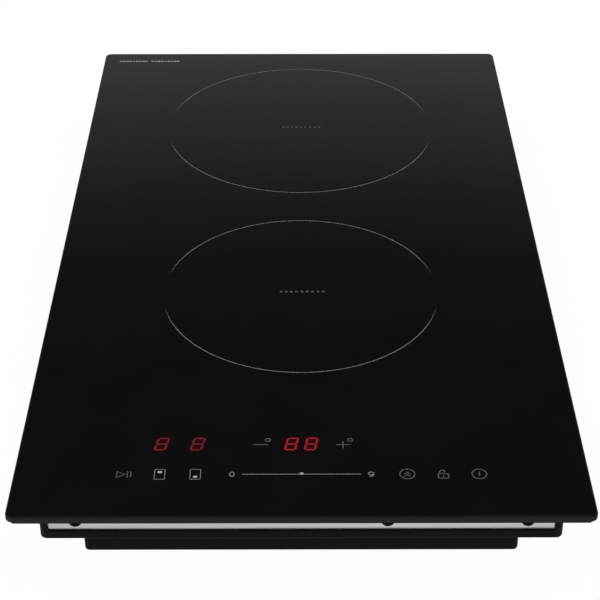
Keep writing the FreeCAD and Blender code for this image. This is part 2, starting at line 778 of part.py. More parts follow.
def winding(outer, y):
    """A flat coil of litz turns, each one a rounded ridge on the one before it."""
    inner = size("coil_eye")
    tall = size("winding_thick")
    turns = round((outer - inner) / size("turn_width"))
    pitch = (outer - inner) / turns
    crown = pitch * CROWN_SHARE
    shoulder = tall - crown
    edges = []
    for index in range(turns):
        start = inner + index * pitch
        edges.append(Part.Arc(Vector(start, 0, shoulder), Vector(start + pitch / 2, 0, tall),
                              Vector(start + pitch, 0, shoulder)).toShape())
    edges.append(Part.LineSegment(Vector(outer, 0, shoulder), Vector(outer, 0, 0)).toShape())
    edges.append(Part.LineSegment(Vector(outer, 0, 0), Vector(inner, 0, 0)).toShape())
    edges.append(Part.LineSegment(Vector(inner, 0, 0), Vector(inner, 0, shoulder)).toShape())
    target = DOC.addObject("Part::Feature", "Winding")
    target.Shape = Part.Face(Part.Wire(edges)).revolve(Vector(), Z_AXIS, 360)
    return place(target, "0", y, CARRIER_TOP)


def spring(x, y):
    """A compression spring between the deck and a coil carrier, of eight-sided wire."""
    tall = f"({CARRIER_BASE} - {DECK_TOP} - 2 * spring_wire)"
    spine = DOC.addObject("Part::Helix", "Spine")
    bind(spine, "Radius", "spring_radius")
    bind(spine, "Height", tall)
    bind(spine, "Pitch", f"{tall} / spring_turns")
    section = DOC.addObject("Part::RegularPolygon", "Section")
    section.Polygon = WIRE_SIDES
    bind(section, "Circumradius", "spring_wire")
    section.Placement = FreeCAD.Placement(Vector(), FreeCAD.Rotation(X_AXIS, 90))
    bind(section, "Placement.Base.x", "spring_radius")
    turns = DOC.addObject("Part::Sweep", "Turns")
    turns.Sections = [section]
    turns.Spine = (spine, [])
    turns.Solid = True
    turns.Frenet = True
    return place(turns, x, y, f"{DECK_TOP} + spring_wire")


def blower():
    """The radial fan: its housing and the motor's stator, which holds the wheel's bearing."""
    outside = slab("fan_side", "fan_side", "fan_tall", "fan_corner", x=FAN_X, y=FAN_Y, z="sheet")
    inside_tall = "fan_tall - 2 * fan_wall"
    volute = rod("volute_radius", inside_tall, FAN_X, FAN_Y, "sheet + fan_wall")
    inlet = rod("inlet_radius", "3 * fan_wall", FAN_X, FAN_Y, "0")
    outlet = box("outlet_width", "fan_side / 2 + fan_wall", inside_tall, FAN_X,
                 f"{FAN_Y} - fan_side / 4 - fan_wall / 2", "sheet + fan_wall")
    holes = [rod("screw_radius + hole_gap", "fan_tall + 2 * sheet", x, y, "0") for x, y in fan_screw_places()]
    node("fan_housing", cut(outside, volute, inlet, outlet, *holes))
    roof = "(sheet + fan_tall - fan_wall)"
    flange = rod("stator_radius", "stator_thick", FAN_X, FAN_Y, f"{roof} - stator_thick")
    sleeve = rod("shaft_radius + sleeve_wall", "fan_tall - sleeve_gap", FAN_X, FAN_Y,
                 f"{roof} - fan_tall + sleeve_gap")
    hole = rod("shaft_radius + shaft_play", "2 * fan_tall", FAN_X, FAN_Y, f"{roof} - 3 / 2 * fan_tall")
    node("fan_stator", cut(fuse(flange, sleeve), hole))


def fan_wheel():
    """The fan's wheel: shaft, hub cup, back disc, inlet rim and blades."""
    base = "(sheet + fan_wall + wheel_rise)"

    def turned(radius, tall, z):
        """A cylinder on the fan's axis."""
        return rod(radius, tall, FAN_X, FAN_Y, z)

    shaft = turned("shaft_radius", "fan_tall - 2 * fan_wall - shaft_room", base)
    floor = turned("hub_radius", "hub_wall", base)
    cup = cut(turned("hub_radius", "wheel_tall", base),
              turned("hub_radius - hub_wall", "wheel_tall", f"{base} + hub_wall / 2"))
    disc = cut(turned("wheel_radius", "wheel_disc", f"{base} + wheel_tall - wheel_disc"),
               turned("hub_radius - 1", "3 * wheel_disc", f"{base} + wheel_tall - 2 * wheel_disc"))
    rim = cut(turned("wheel_radius", "wheel_disc", base),
              turned("wheel_radius - sleeve_wall", "3 * wheel_disc", f"{base} - wheel_disc"))
    blades = []
    root = "(wheel_radius - blade_depth - blade_inset)"
    for index in range(BLADE_COUNT):
        angle = 360 * index / BLADE_COUNT
        blade = DOC.addObject("Part::Box", "Blade")
        bind(blade, "Length", "blade_depth")
        bind(blade, "Width", "blade_thick")
        bind(blade, "Height", "wheel_tall")
        blade.Placement = FreeCAD.Placement(Vector(), FreeCAD.Rotation(Z_AXIS, angle + size("blade_lean")))
        blades.append(place(blade, f"{FAN_X} + cos({angle}) * {root}", f"{FAN_Y} + sin({angle}) * {root}",
                            base))
    node("fan_rotor", fuse(shaft, floor, cup, disc, rim, *blades))


def fan_screw_places():
    """The blower's four corner screws."""
    reach = "(fan_side / 2 - lug_inset)"
    return [(f"{FAN_X} + {x} * {reach}", f"{FAN_Y} + {y} * {reach}") for x, y in CORNERS]


def standoff_places():
    """The spacers under the power board and the filter board."""
    places = []
    for x, y in CORNERS:
        places.append((f"{x} * (board_width / 2 - standoff_inset)",
                       f"board_y + {y} * (board_depth / 2 - standoff_inset)"))
        places.append((f"filter_x + {x} * (filter_width / 2 - standoff_inset)",
                       f"{FILTER_Y} + {y} * (filter_depth / 2 - standoff_inset)"))
    return places


def under_deck(clearance):
    """Height of a board part whose top clears the deck by a named clearance."""
    return f"({TRAY_TOP} - {BOARD_TOP} - {clearance})"


def board_block(width, depth, tall, x, y):
    """A square-edged part that stands on the power board or the filter board."""
    return box(width, depth, tall, x, y, BOARD_TOP)


def board_can(width, depth, tall, x, y):
    """A part with rounded upright edges that stands on the power board or the filter board."""
    return slab(width, depth, tall, "part_corner", x=x, y=y, z=BOARD_TOP)


def boards():
    """The power board and the filter board, their spacers and every small machine screw."""
    places = standoff_places()
    holes = [bore(x, y, BOARD_BASE) for x, y in places]
    power = slab("board_width", "board_depth", "board_thick", "board_corner", y="board_y", z=BOARD_BASE)
    node("power_board", cut(power, *holes[0::2]))
    filtering = slab("filter_width", "filter_depth", "board_thick", "board_corner", x="filter_x", y=FILTER_Y,
                     z=BOARD_BASE)
    node("filter_board", cut(filtering, *holes[1::2]))
    posts = [cut(rod("standoff_radius", "standoff_tall", x, y, "sheet"),
                 rod("screw_radius + hole_gap", "2 * standoff_tall", x, y, "0"))
             for x, y in places]
    node("board_standoffs", group(posts))
    screws = [screw(x, y, BOARD_TOP, "board_thick + standoff_tall - 1") for x, y in places]
    screws += [screw(x, y, "sheet + fan_tall", "fan_tall - 1") for x, y in fan_screw_places()]
    node("board_screws", group(screws))


def heatsink():
    """The finned heatsink, with the power semiconductors along its inner side."""
    y = "board_y + sink_offset"
    base = board_block("sink_width", "sink_length", "sink_base", "sink_x", y)
    fins = []
    for index in range(FIN_COUNT):
        x = f"sink_x + {index / (FIN_COUNT - 1) - 0.5} * (sink_width - fin_thick)"
        fins.append(board_block("fin_thick", "sink_length", under_deck("sink_clear"), x, y))
    node("heatsink", fuse(base, *fins))
    x = "(sink_x - sink_width / 2 - transistor_thick / 2)"
    packs = []
    for step in (-1, 0, 1):
        pack_y = f"board_y + transistor_offset + {step} * transistor_pitch"
        tab_hole = rod("transistor_hole", "2 * transistor_thick", f"{x} - transistor_thick", pack_y,
                       f"{TRAY_TOP} - transistor_clear - transistor_hole_drop", "right")
        body = board_block("transistor_thick", "transistor_width", under_deck("transistor_clear"), x, pack_y)
        packs.append(cut(body, tab_hole))
    node("power_semiconductors", group(packs))


def power_parts():
    """The capacitors, transformer and connectors of the power board."""
    films = [board_can("film_width", "film_depth", under_deck("film_clear"), "film_x",
                       f"board_y + film_offset + {step} * film_pitch") for step in (-1.5, -0.5, 0.5, 1.5)]
    node("resonance_capacitors", group(films))
    node("link_capacitor", board_can("link_width", "link_depth", under_deck("link_clear"), "link_x",
                                     "board_y + link_offset"))
    y = "board_y + core_offset"
    core = board_block("core_width", "core_depth", under_deck("core_clear"), "core_x", y)
    former = board_block("former_width", "former_depth", under_deck("former_clear"), "core_x", y)
    windows = [box("core_width + 2 * sheet", "window_depth", f"{under_deck('core_clear')} - 2 * window_rim",
                   "core_x", f"{y} + {side} * window_step", f"{BOARD_TOP} + window_rim") for side in (-1, 1)]
    node("transformer", cut(fuse(core, former), *windows))
    sockets = [board_block("socket_side", "socket_side", "socket_tall", x, socket_y)
               for x in ("lead_x", "lead_x + lead_gap")
               for socket_y in (FRONT_LEAD_Y, "board_y + rear_lead_offset")]
    sockets.append(board_block("fan_socket_width", "fan_socket_depth", "fan_socket_tall",
                               f"{FAN_X} - fan_side / 2 - fan_socket_gap", "board_y + fan_socket_offset"))
    sockets.append(board_block("ribbon_width + 2 * part_corner", "ribbon_socket_depth", "2 * socket_tall",
                               "ribbon_x", "board_y - board_depth / 2 + ribbon_socket_inset"))
    node("board_connectors", group(sockets))


def filter_parts():
    """The mains filter: choke, two film capacitors and the fuse."""
    ring = DOC.addObject("Part::Torus", "Ring")
    bind(ring, "Radius1", "choke_radius")
    bind(ring, "Radius2", "choke_wire")
    place(ring, "choke_x", FILTER_Y, f"{BOARD_TOP} + choke_wire")
    node("filter_choke", fuse(ring, rod("choke_radius", "choke_foot", "choke_x", FILTER_Y, BOARD_TOP)))
    films = [board_can("filter_film_width", "filter_film_depth", under_deck("filter_film_clear"),
                       "filter_film_x", f"{FILTER_Y} + {side} * filter_film_step") for side in (-1, 1)]
    node("suppression_capacitors", group(films))
    tube = rod("fuse_radius", "fuse_length", "fuse_x", FILTER_Y, f"{BOARD_TOP} + fuse_z", "right")
    clips = [board_block("clip_width", "clip_depth", "clip_tall", x, FILTER_Y)
             for x in ("fuse_x + clip_inset", "fuse_x + fuse_length - clip_inset")]
    node("fuse", fuse(tube, *clips))


def terminals():
    """The mains terminal block with its screws, under its cover."""
    block = slab("terminal_width", "terminal_depth", "terminal_tall", "cover_gap", x="mains_x", y=TERMINAL_Y,
                 z="sheet")
    ways = []
    heads = []
    for index in range(TERMINAL_WAYS):
        x = f"mains_x + {index - (TERMINAL_WAYS - 1) / 2} * way_pitch"
        ways.append(rod("mains_wire + fit_gap", "2 * terminal_depth", x, f"{TERMINAL_Y} - terminal_depth",
                        "sheet + way_z", "back"))
        ways.append(rod("screw_radius + hole_gap", "terminal_tall", x, TERMINAL_Y,
                        "sheet + way_z + mains_wire + fit_gap + hole_gap"))
        heads.append(screw(x, TERMINAL_Y, "sheet + terminal_tall", "terminal_screw"))
    node("terminal_block", cut(block, *ways))
    node("terminal_screws", group(heads))
    outside = "2 * (cover_gap + cover_wall)"
    cover = slab(f"terminal_width + {outside}", f"terminal_depth + {outside}",
                 "terminal_tall + cover_room + cover_wall", "cover_wall", x="mains_x", y=TERMINAL_Y,
                 z="sheet")
    hollow = box("terminal_width + 2 * cover_gap", "terminal_depth + 2 * cover_gap",
                 "sheet + terminal_tall + cover_room", "mains_x", TERMINAL_Y, "0")
    passage = box("terminal_width - 2 * cover_gap", "2 * terminal_depth", "passage_tall", "mains_x",
                  TERMINAL_Y, "0")
    node("terminal_cover", cut(cover, hollow, passage))


def cable_entry():
    """The cable's rubber bush in the rear wall, and its two-part clamp inside."""
    wall = "(cable_radius + bush_wall)"
    inner_face = f"{REAR_WALL_Y} - sheet - bush_lip"
    barrel = rod(wall, "2 * bush_lip + sheet", "mains_x", inner_face, "cable_z", "back")
    lips = [rod(f"{wall} + bush_lip", "bush_lip", "mains_x", start, "cable_z", "back")
            for start in (inner_face, REAR_WALL_Y)]
    hole = rod("cable_radius", "4 * bore_reach", "mains_x", f"{REAR_WALL_Y} - 2 * bore_reach", "cable_z",
               "back")
    node("cable_bush", cut(fuse(barrel, *lips), hole))
    y = f"({REAR_WALL_Y} - saddle_margin)"
    saddle = slab("saddle_width", "saddle_depth", "cable_z - sheet + cable_radius + saddle_wall", "cover_gap",
                  x="mains_x", y=y, z="sheet")
    path = rod("cable_radius + hole_gap", "2 * saddle_depth", "mains_x", f"{y} - saddle_depth", "cable_z",
               "back")
    split = box("saddle_width + 2 * sheet", "saddle_depth + 2 * sheet", "saddle_split", "mains_x", y,
                "cable_z")
    bolts = [rod("screw_radius", "cable_z + cable_radius", f"mains_x + {side} * bolt_x", y, "2 * sheet")
             for side in (-1, 1)]
    node("cable_clamp", fuse(cut(saddle, path, split), *bolts))


def controls():
    """The touch control unit under the front of the glass."""
    tall = f"({CONTROL_TOP} - board_thick - {DECK_TOP})"
    rim = slab("control_width", "control_depth", tall, "control_corner", y=CONTROL_Y, z=DECK_TOP)
    hollow = slab("control_width - 2 * carrier_wall", "control_depth - 2 * carrier_wall", tall,
                  "control_corner - carrier_wall / 2", y=CONTROL_Y, z=f"{DECK_TOP} + carrier_wall")
    ribs = [box("carrier_wall", "control_depth - carrier_wall", tall, f"{step} * control_width / 4",
                CONTROL_Y, DECK_TOP)
            for step in (-1, 0, 1)]
    notch = box("ribbon_width + ribbon_room", "control_depth / 2", tall, "ribbon_x",
                f"{CONTROL_Y} + control_depth / 2", f"{DECK_TOP} - 1")
    node("control_carrier", cut(fuse(cut(rim, hollow), *ribs), notch))
    node("control_board", slab("control_width", "control_depth", "board_thick", "control_corner", y=CONTROL_Y,
                               z=f"{CONTROL_TOP} - board_thick"))
    node("timer_display", display("2 * digit_width", "timer_x"))
    node("zone_displays", group([display("digit_width", x) for x in ZONE_DIGIT_XS]))
    keys = [(x, KEY_Y) for x in KEY_XS] + [(x, DISPLAY_Y) for x in TIMER_KEY_XS]
    node("touch_pads", group([rod("pad_radius", "display_tall", x, y, CONTROL_TOP) for x, y in keys]))
    node("buzzer", rod("buzzer_radius", "buzzer_tall", "buzzer_x", DISPLAY_Y,
                       f"{CONTROL_TOP} - board_thick - buzzer_tall"))


def display(width, x):
    """One seven-segment module with a recessed window."""
    body = box(width, "digit_depth", "display_tall", x, DISPLAY_Y, CONTROL_TOP)
    window = box(f"{width} - 2 * display_rim", "digit_depth - 2 * display_rim", "display_tall", x, DISPLAY_Y,
                 f"{CONTROL_TOP} + display_tall - display_recess")
    return cut(body, window)


def clamps():
    """Four swinging worktop clamps on long screws under the case's ring."""
    arm_z = f"({CASE_BASE} - clamp_drop - clamp_thick)"
    reach = "(clamp_length - clamp_width / 2)"
    studs = []
    for name, side, end in clamp_places():
        x = f"{side} * {CLAMP_X}"
        y = f"{end} * clamp_y"
        arm = slab("clamp_width", "clamp_length", "clamp_thick", "clamp_width / 2 - hole_gap", x=x,
                   y=f"{y} - {side} * ({reach} / 2)", z=arm_z)
        collar = rod("clamp_radius + clamp_wall", "clamp_drop + clamp_thick - fit_gap", x, y, arm_z)
        tooth = box("clamp_width - 2 * tooth_inset", "tooth_thick", "clamp_tooth + clamp_thick / 2", x,
                    f"{y} - {side} * ({reach} - tooth_inset)", f"{arm_z} + clamp_thick / 2")
        hole = rod("clamp_radius + shaft_play", "2 * clamp_drop", x, y, f"{arm_z} - clamp_thick")
        node(name, cut(fuse(arm, collar, tooth), hole))
        shank = rod("clamp_radius", f"{RING_TOP} - {arm_z} + stud_gap + head_lap", x, y,
                    f"{arm_z} - stud_gap")
        head_z = f"({arm_z} - stud_head - head_lap)"
        head = rod("clamp_radius * 2", "stud_head", x, y, head_z)
        slot = box("recess_width", "clamp_radius * 4", "2 * stud_slot", x, y, f"{head_z} - stud_slot")
        studs.append(cut(fuse(shank, head), slot))
    node("clamp_screws", group(studs))


def looms():
    """The coils' leads, the fan's lead and the mains wires, each along its own run."""
    board_top = size("sheet") + size("standoff_tall") + size("board_thick")
    carrier_base = (size("overall_height") - size("glass_thick") - size("glass_gap") - size("mica_thick")
                    - size("winding_thick") - size("carrier_thick"))
    socket_top = board_top + size("socket_tall")
    lead_xs = [size("lead_x"), size("lead_x") + size("lead_gap")]
    front_y = size("front_zone_margin") - size("glass_depth") / 2 + size("front_lead_offset")
    rear_y = (size("glass_depth") / 2 - size("rear_zone_margin") - size("rear_zone_radius")
              + size("lead_inset"))
    socket_y = size("board_y") + size("rear_lead_offset")
    level = (socket_top + carrier_base) / 2 - 2 * size("lead_radius")
    radius = size("lead_radius")
    wire_node("front_coil_leads", [[(x, front_y, socket_top), (x, front_y, carrier_base)] for x in lead_xs],
              radius, radius)
    wire_node("rear_coil_leads",
              [[(x, rear_y, carrier_base), (x, rear_y, level), (x, socket_y, level),
                (x, socket_y, socket_top)] for x in lead_xs], radius, size("lead_bend"))
    fan_left = (size("glass_width") / 2 - size("side_overhang") - size("side_step") - size("sheet")
                - size("fan_margin") - size("fan_side"))
    fan_y = (size("glass_depth") / 2 - size("end_overhang") - size("end_step") - size("filter_margin")
             - size("filter_depth") / 2 - size("fan_gap") - size("fan_side") / 2)
    turn_x = fan_left - size("fan_socket_gap")
    fan_socket_y = size("board_y") + size("fan_socket_offset") + size("fan_socket_depth") / 2
    lead_z = board_top + size("fan_lead_z")
    wire_node("fan_lead", [[(fan_left, fan_y, lead_z), (turn_x, fan_y, lead_z),
                            (turn_x, fan_socket_y, lead_z)]], size("fan_lead_radius"), size("lead_bend"))
    mains_wires(board_top)


def mains_wires(board_top):
    """Three wires from the terminal block to the filter board."""
    rear_wall = size("glass_depth") / 2 - size("end_overhang") - size("end_step")
    block_y = rear_wall - size("terminal_margin") - size("terminal_depth") / 2
    filter_y = rear_wall - size("filter_margin")
    board_left = size("filter_x") - size("filter_width") / 2
    gap = size("mains_gap")
    entry_z = size("sheet") + size("way_z")
    board_z = board_top + size("mains_wire")
    runs = []
    for step in (-1, 0, 1):
        start_x = size("mains_x") + step * size("way_pitch")
        low_y = block_y - size("mains_drop") - gap * (1 - step)
        turn_x = board_left - size("mains_margin") - gap * step
        end_y = filter_y - size("mains_shift") + size("mains_end") * step
        runs.append([(start_x, block_y + 1, entry_z), (start_x, low_y, entry_z), (turn_x, low_y, entry_z),
                     (turn_x, end_y, board_z), (board_left + size("mains_end"), end_y, board_z)])
    wire_node("mains_wires", runs, size("mains_wire"), size("mains_bend"))


def ribbon():
    """The flat cable from the control board down through the deck to the power board."""
    half_thick = size("ribbon_thick") / 2
    half_width = size("ribbon_width") / 2
    x = size("ribbon_x")
    top = (size("overall_height") - size("glass_thick") - size("glass_gap") - size("display_tall")
           - size("board_thick"))
    low = size("sheet") + size("standoff_tall") + size("board_thick") + size("ribbon_z")
    y = size("control_margin") - size("glass_depth") / 2 + size("control_depth") / 2 - size("ribbon_inset")
    socket_y = (size("board_y") - size("board_depth") / 2 + size("ribbon_socket_inset")
                - size("ribbon_socket_depth") / 2)
    bend = size("ribbon_bend")
    first = Part.LineSegment(Vector(x, y, top), Vector(x, y, low + bend)).toShape()
    diagonal = bend * (1 - 0.5 ** 0.5)
    turn = Part.Arc(Vector(x, y, low + bend), Vector(x, y + diagonal, low + diagonal),
                    Vector(x, y + bend, low)).toShape()
    last = Part.LineSegment(Vector(x, y + bend, low), Vector(x, socket_y, low)).toShape()
    corners = [Vector(x + side * half_width, y + face * half_thick, top)
               for side, face in ((-1, -1), (1, -1), (1, 1), (-1, 1))]
    section = Part.makePolygon(corners + corners[:1])
    target = DOC.addObject("Part::Feature", "Ribbon")
    target.Shape = Part.Wire([first, turn, last]).makePipeShell([section], True, False)
    target.Placement = FreeCAD.Placement()
    node("ribbon_cable", target)


def check():
    """Stop if any object failed or any node's shape is missing or faulty."""
    for target in DOC.Objects:
        if {"Invalid", "Error"} & set(target.State):
            raise ValueError(f"{target.Name} is {target.State}")
    for name, target in NODES.items():
        shape = target.Shape
        if shape.isNull() or not shape.isValid() or shape.Volume <= 0:
            raise ValueError(f"{name} has no sound shape")
        if not shape.Solids:
            raise ValueError(f"{name} holds no solid")


def export():
    """Write each node to its own file."""
    os.makedirs("parts", exist_ok=True)
    for name, target in NODES.items():
        target.Shape.exportStep(os.path.join("parts", f"{name}.step"))
    print(f"{len(NODES)} nodes written")


def main():
    """Build every node, check them all and write them out."""
    fill_sheet()
    glass()
    frame()
    case()
    tray()
    deck()
    coil("rear", "rear_zone_radius", REAR_ZONE_Y)
    coil("front", "front_zone_radius", FRONT_ZONE_Y)
    blower()
    fan_wheel()
    boards()
    heatsink()
    power_parts()
    filter_parts()
    terminals()
    cable_entry()
    controls()
    clamps()
    looms()
    ribbon()
    DOC.recompute()
    check()
    export()


main()
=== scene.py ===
"""Looks of a narrow built-in induction hob: finishes, printed controls, lit digits, floor and lamps."""
import logging
import math
from dataclasses import dataclass, field
from enum import Enum
from typing import Sequence

import bmesh
import bpy
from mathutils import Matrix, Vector


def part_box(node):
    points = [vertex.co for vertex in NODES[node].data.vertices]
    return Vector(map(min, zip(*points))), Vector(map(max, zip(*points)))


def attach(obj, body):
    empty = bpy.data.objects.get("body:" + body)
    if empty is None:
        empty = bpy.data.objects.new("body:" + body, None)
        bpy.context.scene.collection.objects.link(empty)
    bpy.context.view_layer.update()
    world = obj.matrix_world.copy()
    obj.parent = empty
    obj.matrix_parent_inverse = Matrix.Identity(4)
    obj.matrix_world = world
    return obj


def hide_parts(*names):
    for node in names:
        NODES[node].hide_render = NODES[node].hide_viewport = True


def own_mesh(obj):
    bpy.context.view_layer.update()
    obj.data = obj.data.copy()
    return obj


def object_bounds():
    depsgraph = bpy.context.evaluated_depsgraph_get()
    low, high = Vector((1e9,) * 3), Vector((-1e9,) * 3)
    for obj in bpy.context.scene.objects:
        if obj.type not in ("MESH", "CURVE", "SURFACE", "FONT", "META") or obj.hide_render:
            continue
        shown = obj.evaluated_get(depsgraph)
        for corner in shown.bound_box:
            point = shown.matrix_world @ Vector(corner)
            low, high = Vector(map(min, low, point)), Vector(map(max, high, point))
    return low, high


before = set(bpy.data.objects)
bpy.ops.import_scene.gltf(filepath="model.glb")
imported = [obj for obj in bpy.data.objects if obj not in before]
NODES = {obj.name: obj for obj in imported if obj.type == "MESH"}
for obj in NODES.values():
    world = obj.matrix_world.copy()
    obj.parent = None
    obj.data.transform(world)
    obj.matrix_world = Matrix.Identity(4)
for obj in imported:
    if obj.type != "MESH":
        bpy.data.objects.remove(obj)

CAD_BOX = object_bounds()
MM = 0.001
LOG = logging.getLogger("hob")

# Insets of the printed rows in mm: the zones' centres and the rows of keys and digits.
REAR_ZONE_FROM_BACK = 117.0
FRONT_ZONE_FROM_FRONT = 198.0
KEYS_FROM_FRONT = 32.2
DIGITS_FROM_FRONT = 56.2

CORNER_STEPS = 4

Point = tuple[float, float]


def linear(colour: str) -> tuple[float, float, float, float]:
    """Turn an sRGB hex colour to linear.

    Args:
        colour: six hex digits, such as "c0c2c4".

    Returns:
        Red, green, blue and alpha, with alpha 1.
    """
    shares = (int(colour[start:start + 2], 16) / 255 for start in (0, 2, 4))
    red, green, blue = (s / 12.92 if s <= 0.04045 else ((s + 0.055) / 1.055) ** 2.4 for s in shares)
    return red, green, blue, 1.0


def add_node(tree: bpy.types.NodeTree, kind: str, values: dict | None = None, links: dict | None = None,
             **settings: object) -> bpy.types.Node:
    """Add one shader node.

    Args:
        tree: the node tree.
        kind: the node's type, without its ShaderNode prefix.
        values: input values by socket name or number.
        links: output sockets to join to inputs, by socket name or number.
        settings: the node's own properties.

    Returns:
        The new node.
    """
    node = tree.nodes.new(f"ShaderNode{kind}")
    for name, value in settings.items():
        setattr(node, name, value)
    for name, value in (values or {}).items():
        node.inputs[name].default_value = value
    for name, socket in (links or {}).items():
        tree.links.new(socket, node.inputs[name])
    return node


def ramp(tree: bpy.types.NodeTree, source: bpy.types.NodeSocket,
         stops: Sequence[tuple[float, tuple]]) -> bpy.types.NodeSocket:
    """Map a value to colours through a ramp.

    Args:
        tree: the node tree.
        source: the value.
        stops: positions and linear colours, in order.

    Returns:
        The ramp's colour output.
    """
    node = add_node(tree, "ValToRGB", links={"Fac": source})
    elements = node.color_ramp.elements
    while len(elements) < len(stops):
        elements.new(0.5)
    for element, (position, colour) in zip(elements, stops):
        element.position = position
        element.color = colour
    return node.outputs["Color"]


def shown_to(tree: bpy.types.NodeTree, first: str, *others: str) -> bpy.types.NodeSocket:
    """Tell rays of some kinds from all the rest.

    Args:
        tree: the node tree.
        first: a kind, as Light Path names it.
        others: more kinds.

    Returns:
        1 for a ray of any of the kinds, else 0.
    """
    rays = add_node(tree, "LightPath").outputs
    found = rays[first]
    for kind in others:
        found = add_node(tree, "Math", None, {0: found, 1: rays[kind]}, operation="MAXIMUM").outputs[0]
    return found


def rounded(half_x: float, half_y: float, corner: float) -> list[Point]:
    """Outline a rounded rectangle about the origin.

    Args:
        half_x: half its width, less its corner radius.
        half_y: half its depth, less its corner radius.
        corner: radius of its corners.

    Returns:
        The points, anticlockwise from the right.
    """
    points = []
    for side, end, first in ((1, 1, 0), (-1, 1, 90), (-1, -1, 180), (1, -1, 270)):
        for step in range(CORNER_STEPS + 1):
            turn = math.radians(first + 90 / CORNER_STEPS * step)
            points.append((side * half_x + corner * math.cos(turn), end * half_y + corner * math.sin(turn)))
    return points


class Grain(Enum):
    """How a surface was made, which sets the shape of its pattern."""

    MOULDED = (1.0, 1.0, 1.0)
    BRUSHED_X = (0.02, 1.0, 1.0)
    BRUSHED_Y = (1.0, 0.02, 1.0)
    DRAWN_Z = (1.0, 1.0, 0.05)


@dataclass(frozen=True)
class Finish:
    """A surface finish: its two tones, gloss and the pattern that its making leaves.

    Fields:
        name: the material's name.
        tone: sRGB hex of the surface.
        worn: sRGB hex that the pattern shades towards.
        roughness: middle roughness.
        spread: how far the pattern moves the roughness.
        metallic: 1 for bare metal.
        specular: specular level; 0.5 is the plain dielectric.
        grain: the making's direction.
        grain_mm: size of the pattern's features.
        relief_mm: height of its bumps.
        coat: strength of a clear coat.
    """

    name: str
    tone: str
    worn: str
    roughness: float
    spread: float = 0.06
    metallic: float = 0.0
    specular: float = 0.5
    grain: Grain = Grain.MOULDED
    grain_mm: float = 1.0
    relief_mm: float = 0.02
    coat: float = 0.0

    def material(self) -> bpy.types.Material:
        """The finish's material, made once."""
        found = bpy.data.materials.get(self.name)
        return found or self.make()

    def make(self) -> bpy.types.Material:
        """Build the material.

        Returns:
            A material whose colour, roughness and bump follow one noise in object space.
        """
        material = bpy.data.materials.new(self.name)
        material.use_nodes = True
        tree = material.node_tree
        shader = tree.nodes["Principled BSDF"]
        pattern = self.pattern(tree)
        tree.links.new(ramp(tree, pattern, ((0.3, linear(self.worn)), (0.6, linear(self.tone)))),
                       shader.inputs["Base Color"])
        gloss = add_node(tree, "MapRange", {"To Min": self.roughness - self.spread,
                                            "To Max": self.roughness + self.spread}, {"Value": pattern})
        tree.links.new(gloss.outputs["Result"], shader.inputs["Roughness"])
        bump = add_node(tree, "Bump", {"Distance": self.relief_mm * MM, "Strength": 0.6}, {"Height": pattern})
        tree.links.new(bump.outputs["Normal"], shader.inputs["Normal"])
        shader.inputs["Metallic"].default_value = self.metallic
        shader.inputs["Specular IOR Level"].default_value = self.specular
        shader.inputs["Coat Weight"].default_value = self.coat
        self.extras(tree, shader)
        return material

    def pattern(self, tree: bpy.types.NodeTree) -> bpy.types.NodeSocket:
        """The noise that the making leaves, stretched along its direction.

        Args:
            tree: the node tree.

        Returns:
            A value around 0.5.
        """
        place = add_node(tree, "TexCoord").outputs["Object"]
        stretch = add_node(tree, "Mapping", {"Scale": self.grain.value}, {"Vector": place})
        noise = add_node(tree, "TexNoise", {"Scale": 1 / (self.grain_mm * MM), "Detail": 3.0},
                         {"Vector": stretch.outputs["Vector"]})
        return noise.outputs["Fac"]

    def extras(self, tree: bpy.types.NodeTree, shader: bpy.types.Node) -> None:
        """Hook for what a special finish adds to the plain one."""


# Galvanised sheet, rolled: bright satin with long fine streaks.
BRIGHT_SHEET = Finish("rolled_galvanised_sheet", "c5c7c8", "b2b4b6", 0.36, metallic=1.0,
                      grain=Grain.BRUSHED_X, grain_mm=0.8, relief_mm=0.004)
# Deep-drawn sheet steel in matt black powder coat: even, with a fine orange peel.
BLACK_COAT = Finish("powder_coated_black_steel", "070707", "050505", 0.6, specular=0.08, grain_mm=0.9,
                    relief_mm=0.012)
# The same coat on the pressed tray, painted lighter to cancel the shade that the case's rim casts on it:
# painted light.
TRAY_COAT_PAINTED_LIGHTER = Finish("powder_coated_tray_steel_painted_lighter", "0f0f0f", "0b0b0b", 0.62, specular=0.08, grain_mm=1.1,
                   relief_mm=0.015)
# Blackened machine screws: a dull oxide skin, slightly oily.
BLACK_OXIDE = Finish("blackened_screw_steel", "040404", "020202", 0.55, specular=0.06, grain_mm=0.6,
                     relief_mm=0.01)
# Zinc plated screws and stampings: bluish, faintly mottled.
ZINC = Finish("zinc_plated_steel", "b9bdc2", "9a9ea4", 0.34, metallic=1.0, grain_mm=1.5, relief_mm=0.006)
# Mill-finish aluminium sheet: pale, streaked along its rolling.
MILL_ALUMINIUM = Finish("mill_finish_aluminium", "d4d6d7", "c4c6c8", 0.4, metallic=1.0, grain=Grain.BRUSHED_Y,
                        grain_mm=0.9, relief_mm=0.004)
# Hard-drawn spring wire.
SPRING_WIRE = Finish("drawn_spring_steel", "9c9ea0", "7d7f82", 0.3, metallic=1.0, grain=Grain.DRAWN_Z,
                     grain_mm=0.4, relief_mm=0.003)
# Closed-cell polyethylene foam tape: dull black with fine pores.
FOAM_TAPE = Finish("closed_cell_foam_tape", "1b1b1b", "101010", 0.85, specular=0.2, grain_mm=0.7,
                   relief_mm=0.08)
# Cured silicone bead.
SILICONE = Finish("cured_silicone", "1a1a1b", "141415", 0.45, grain_mm=4, relief_mm=0.02)
# Glass-filled polyamide, moulded: near black with a light erode texture.
POLYAMIDE = Finish("moulded_black_polyamide", "1c1c1d", "161617", 0.5, specular=0.4, grain_mm=0.5,
                   relief_mm=0.015)
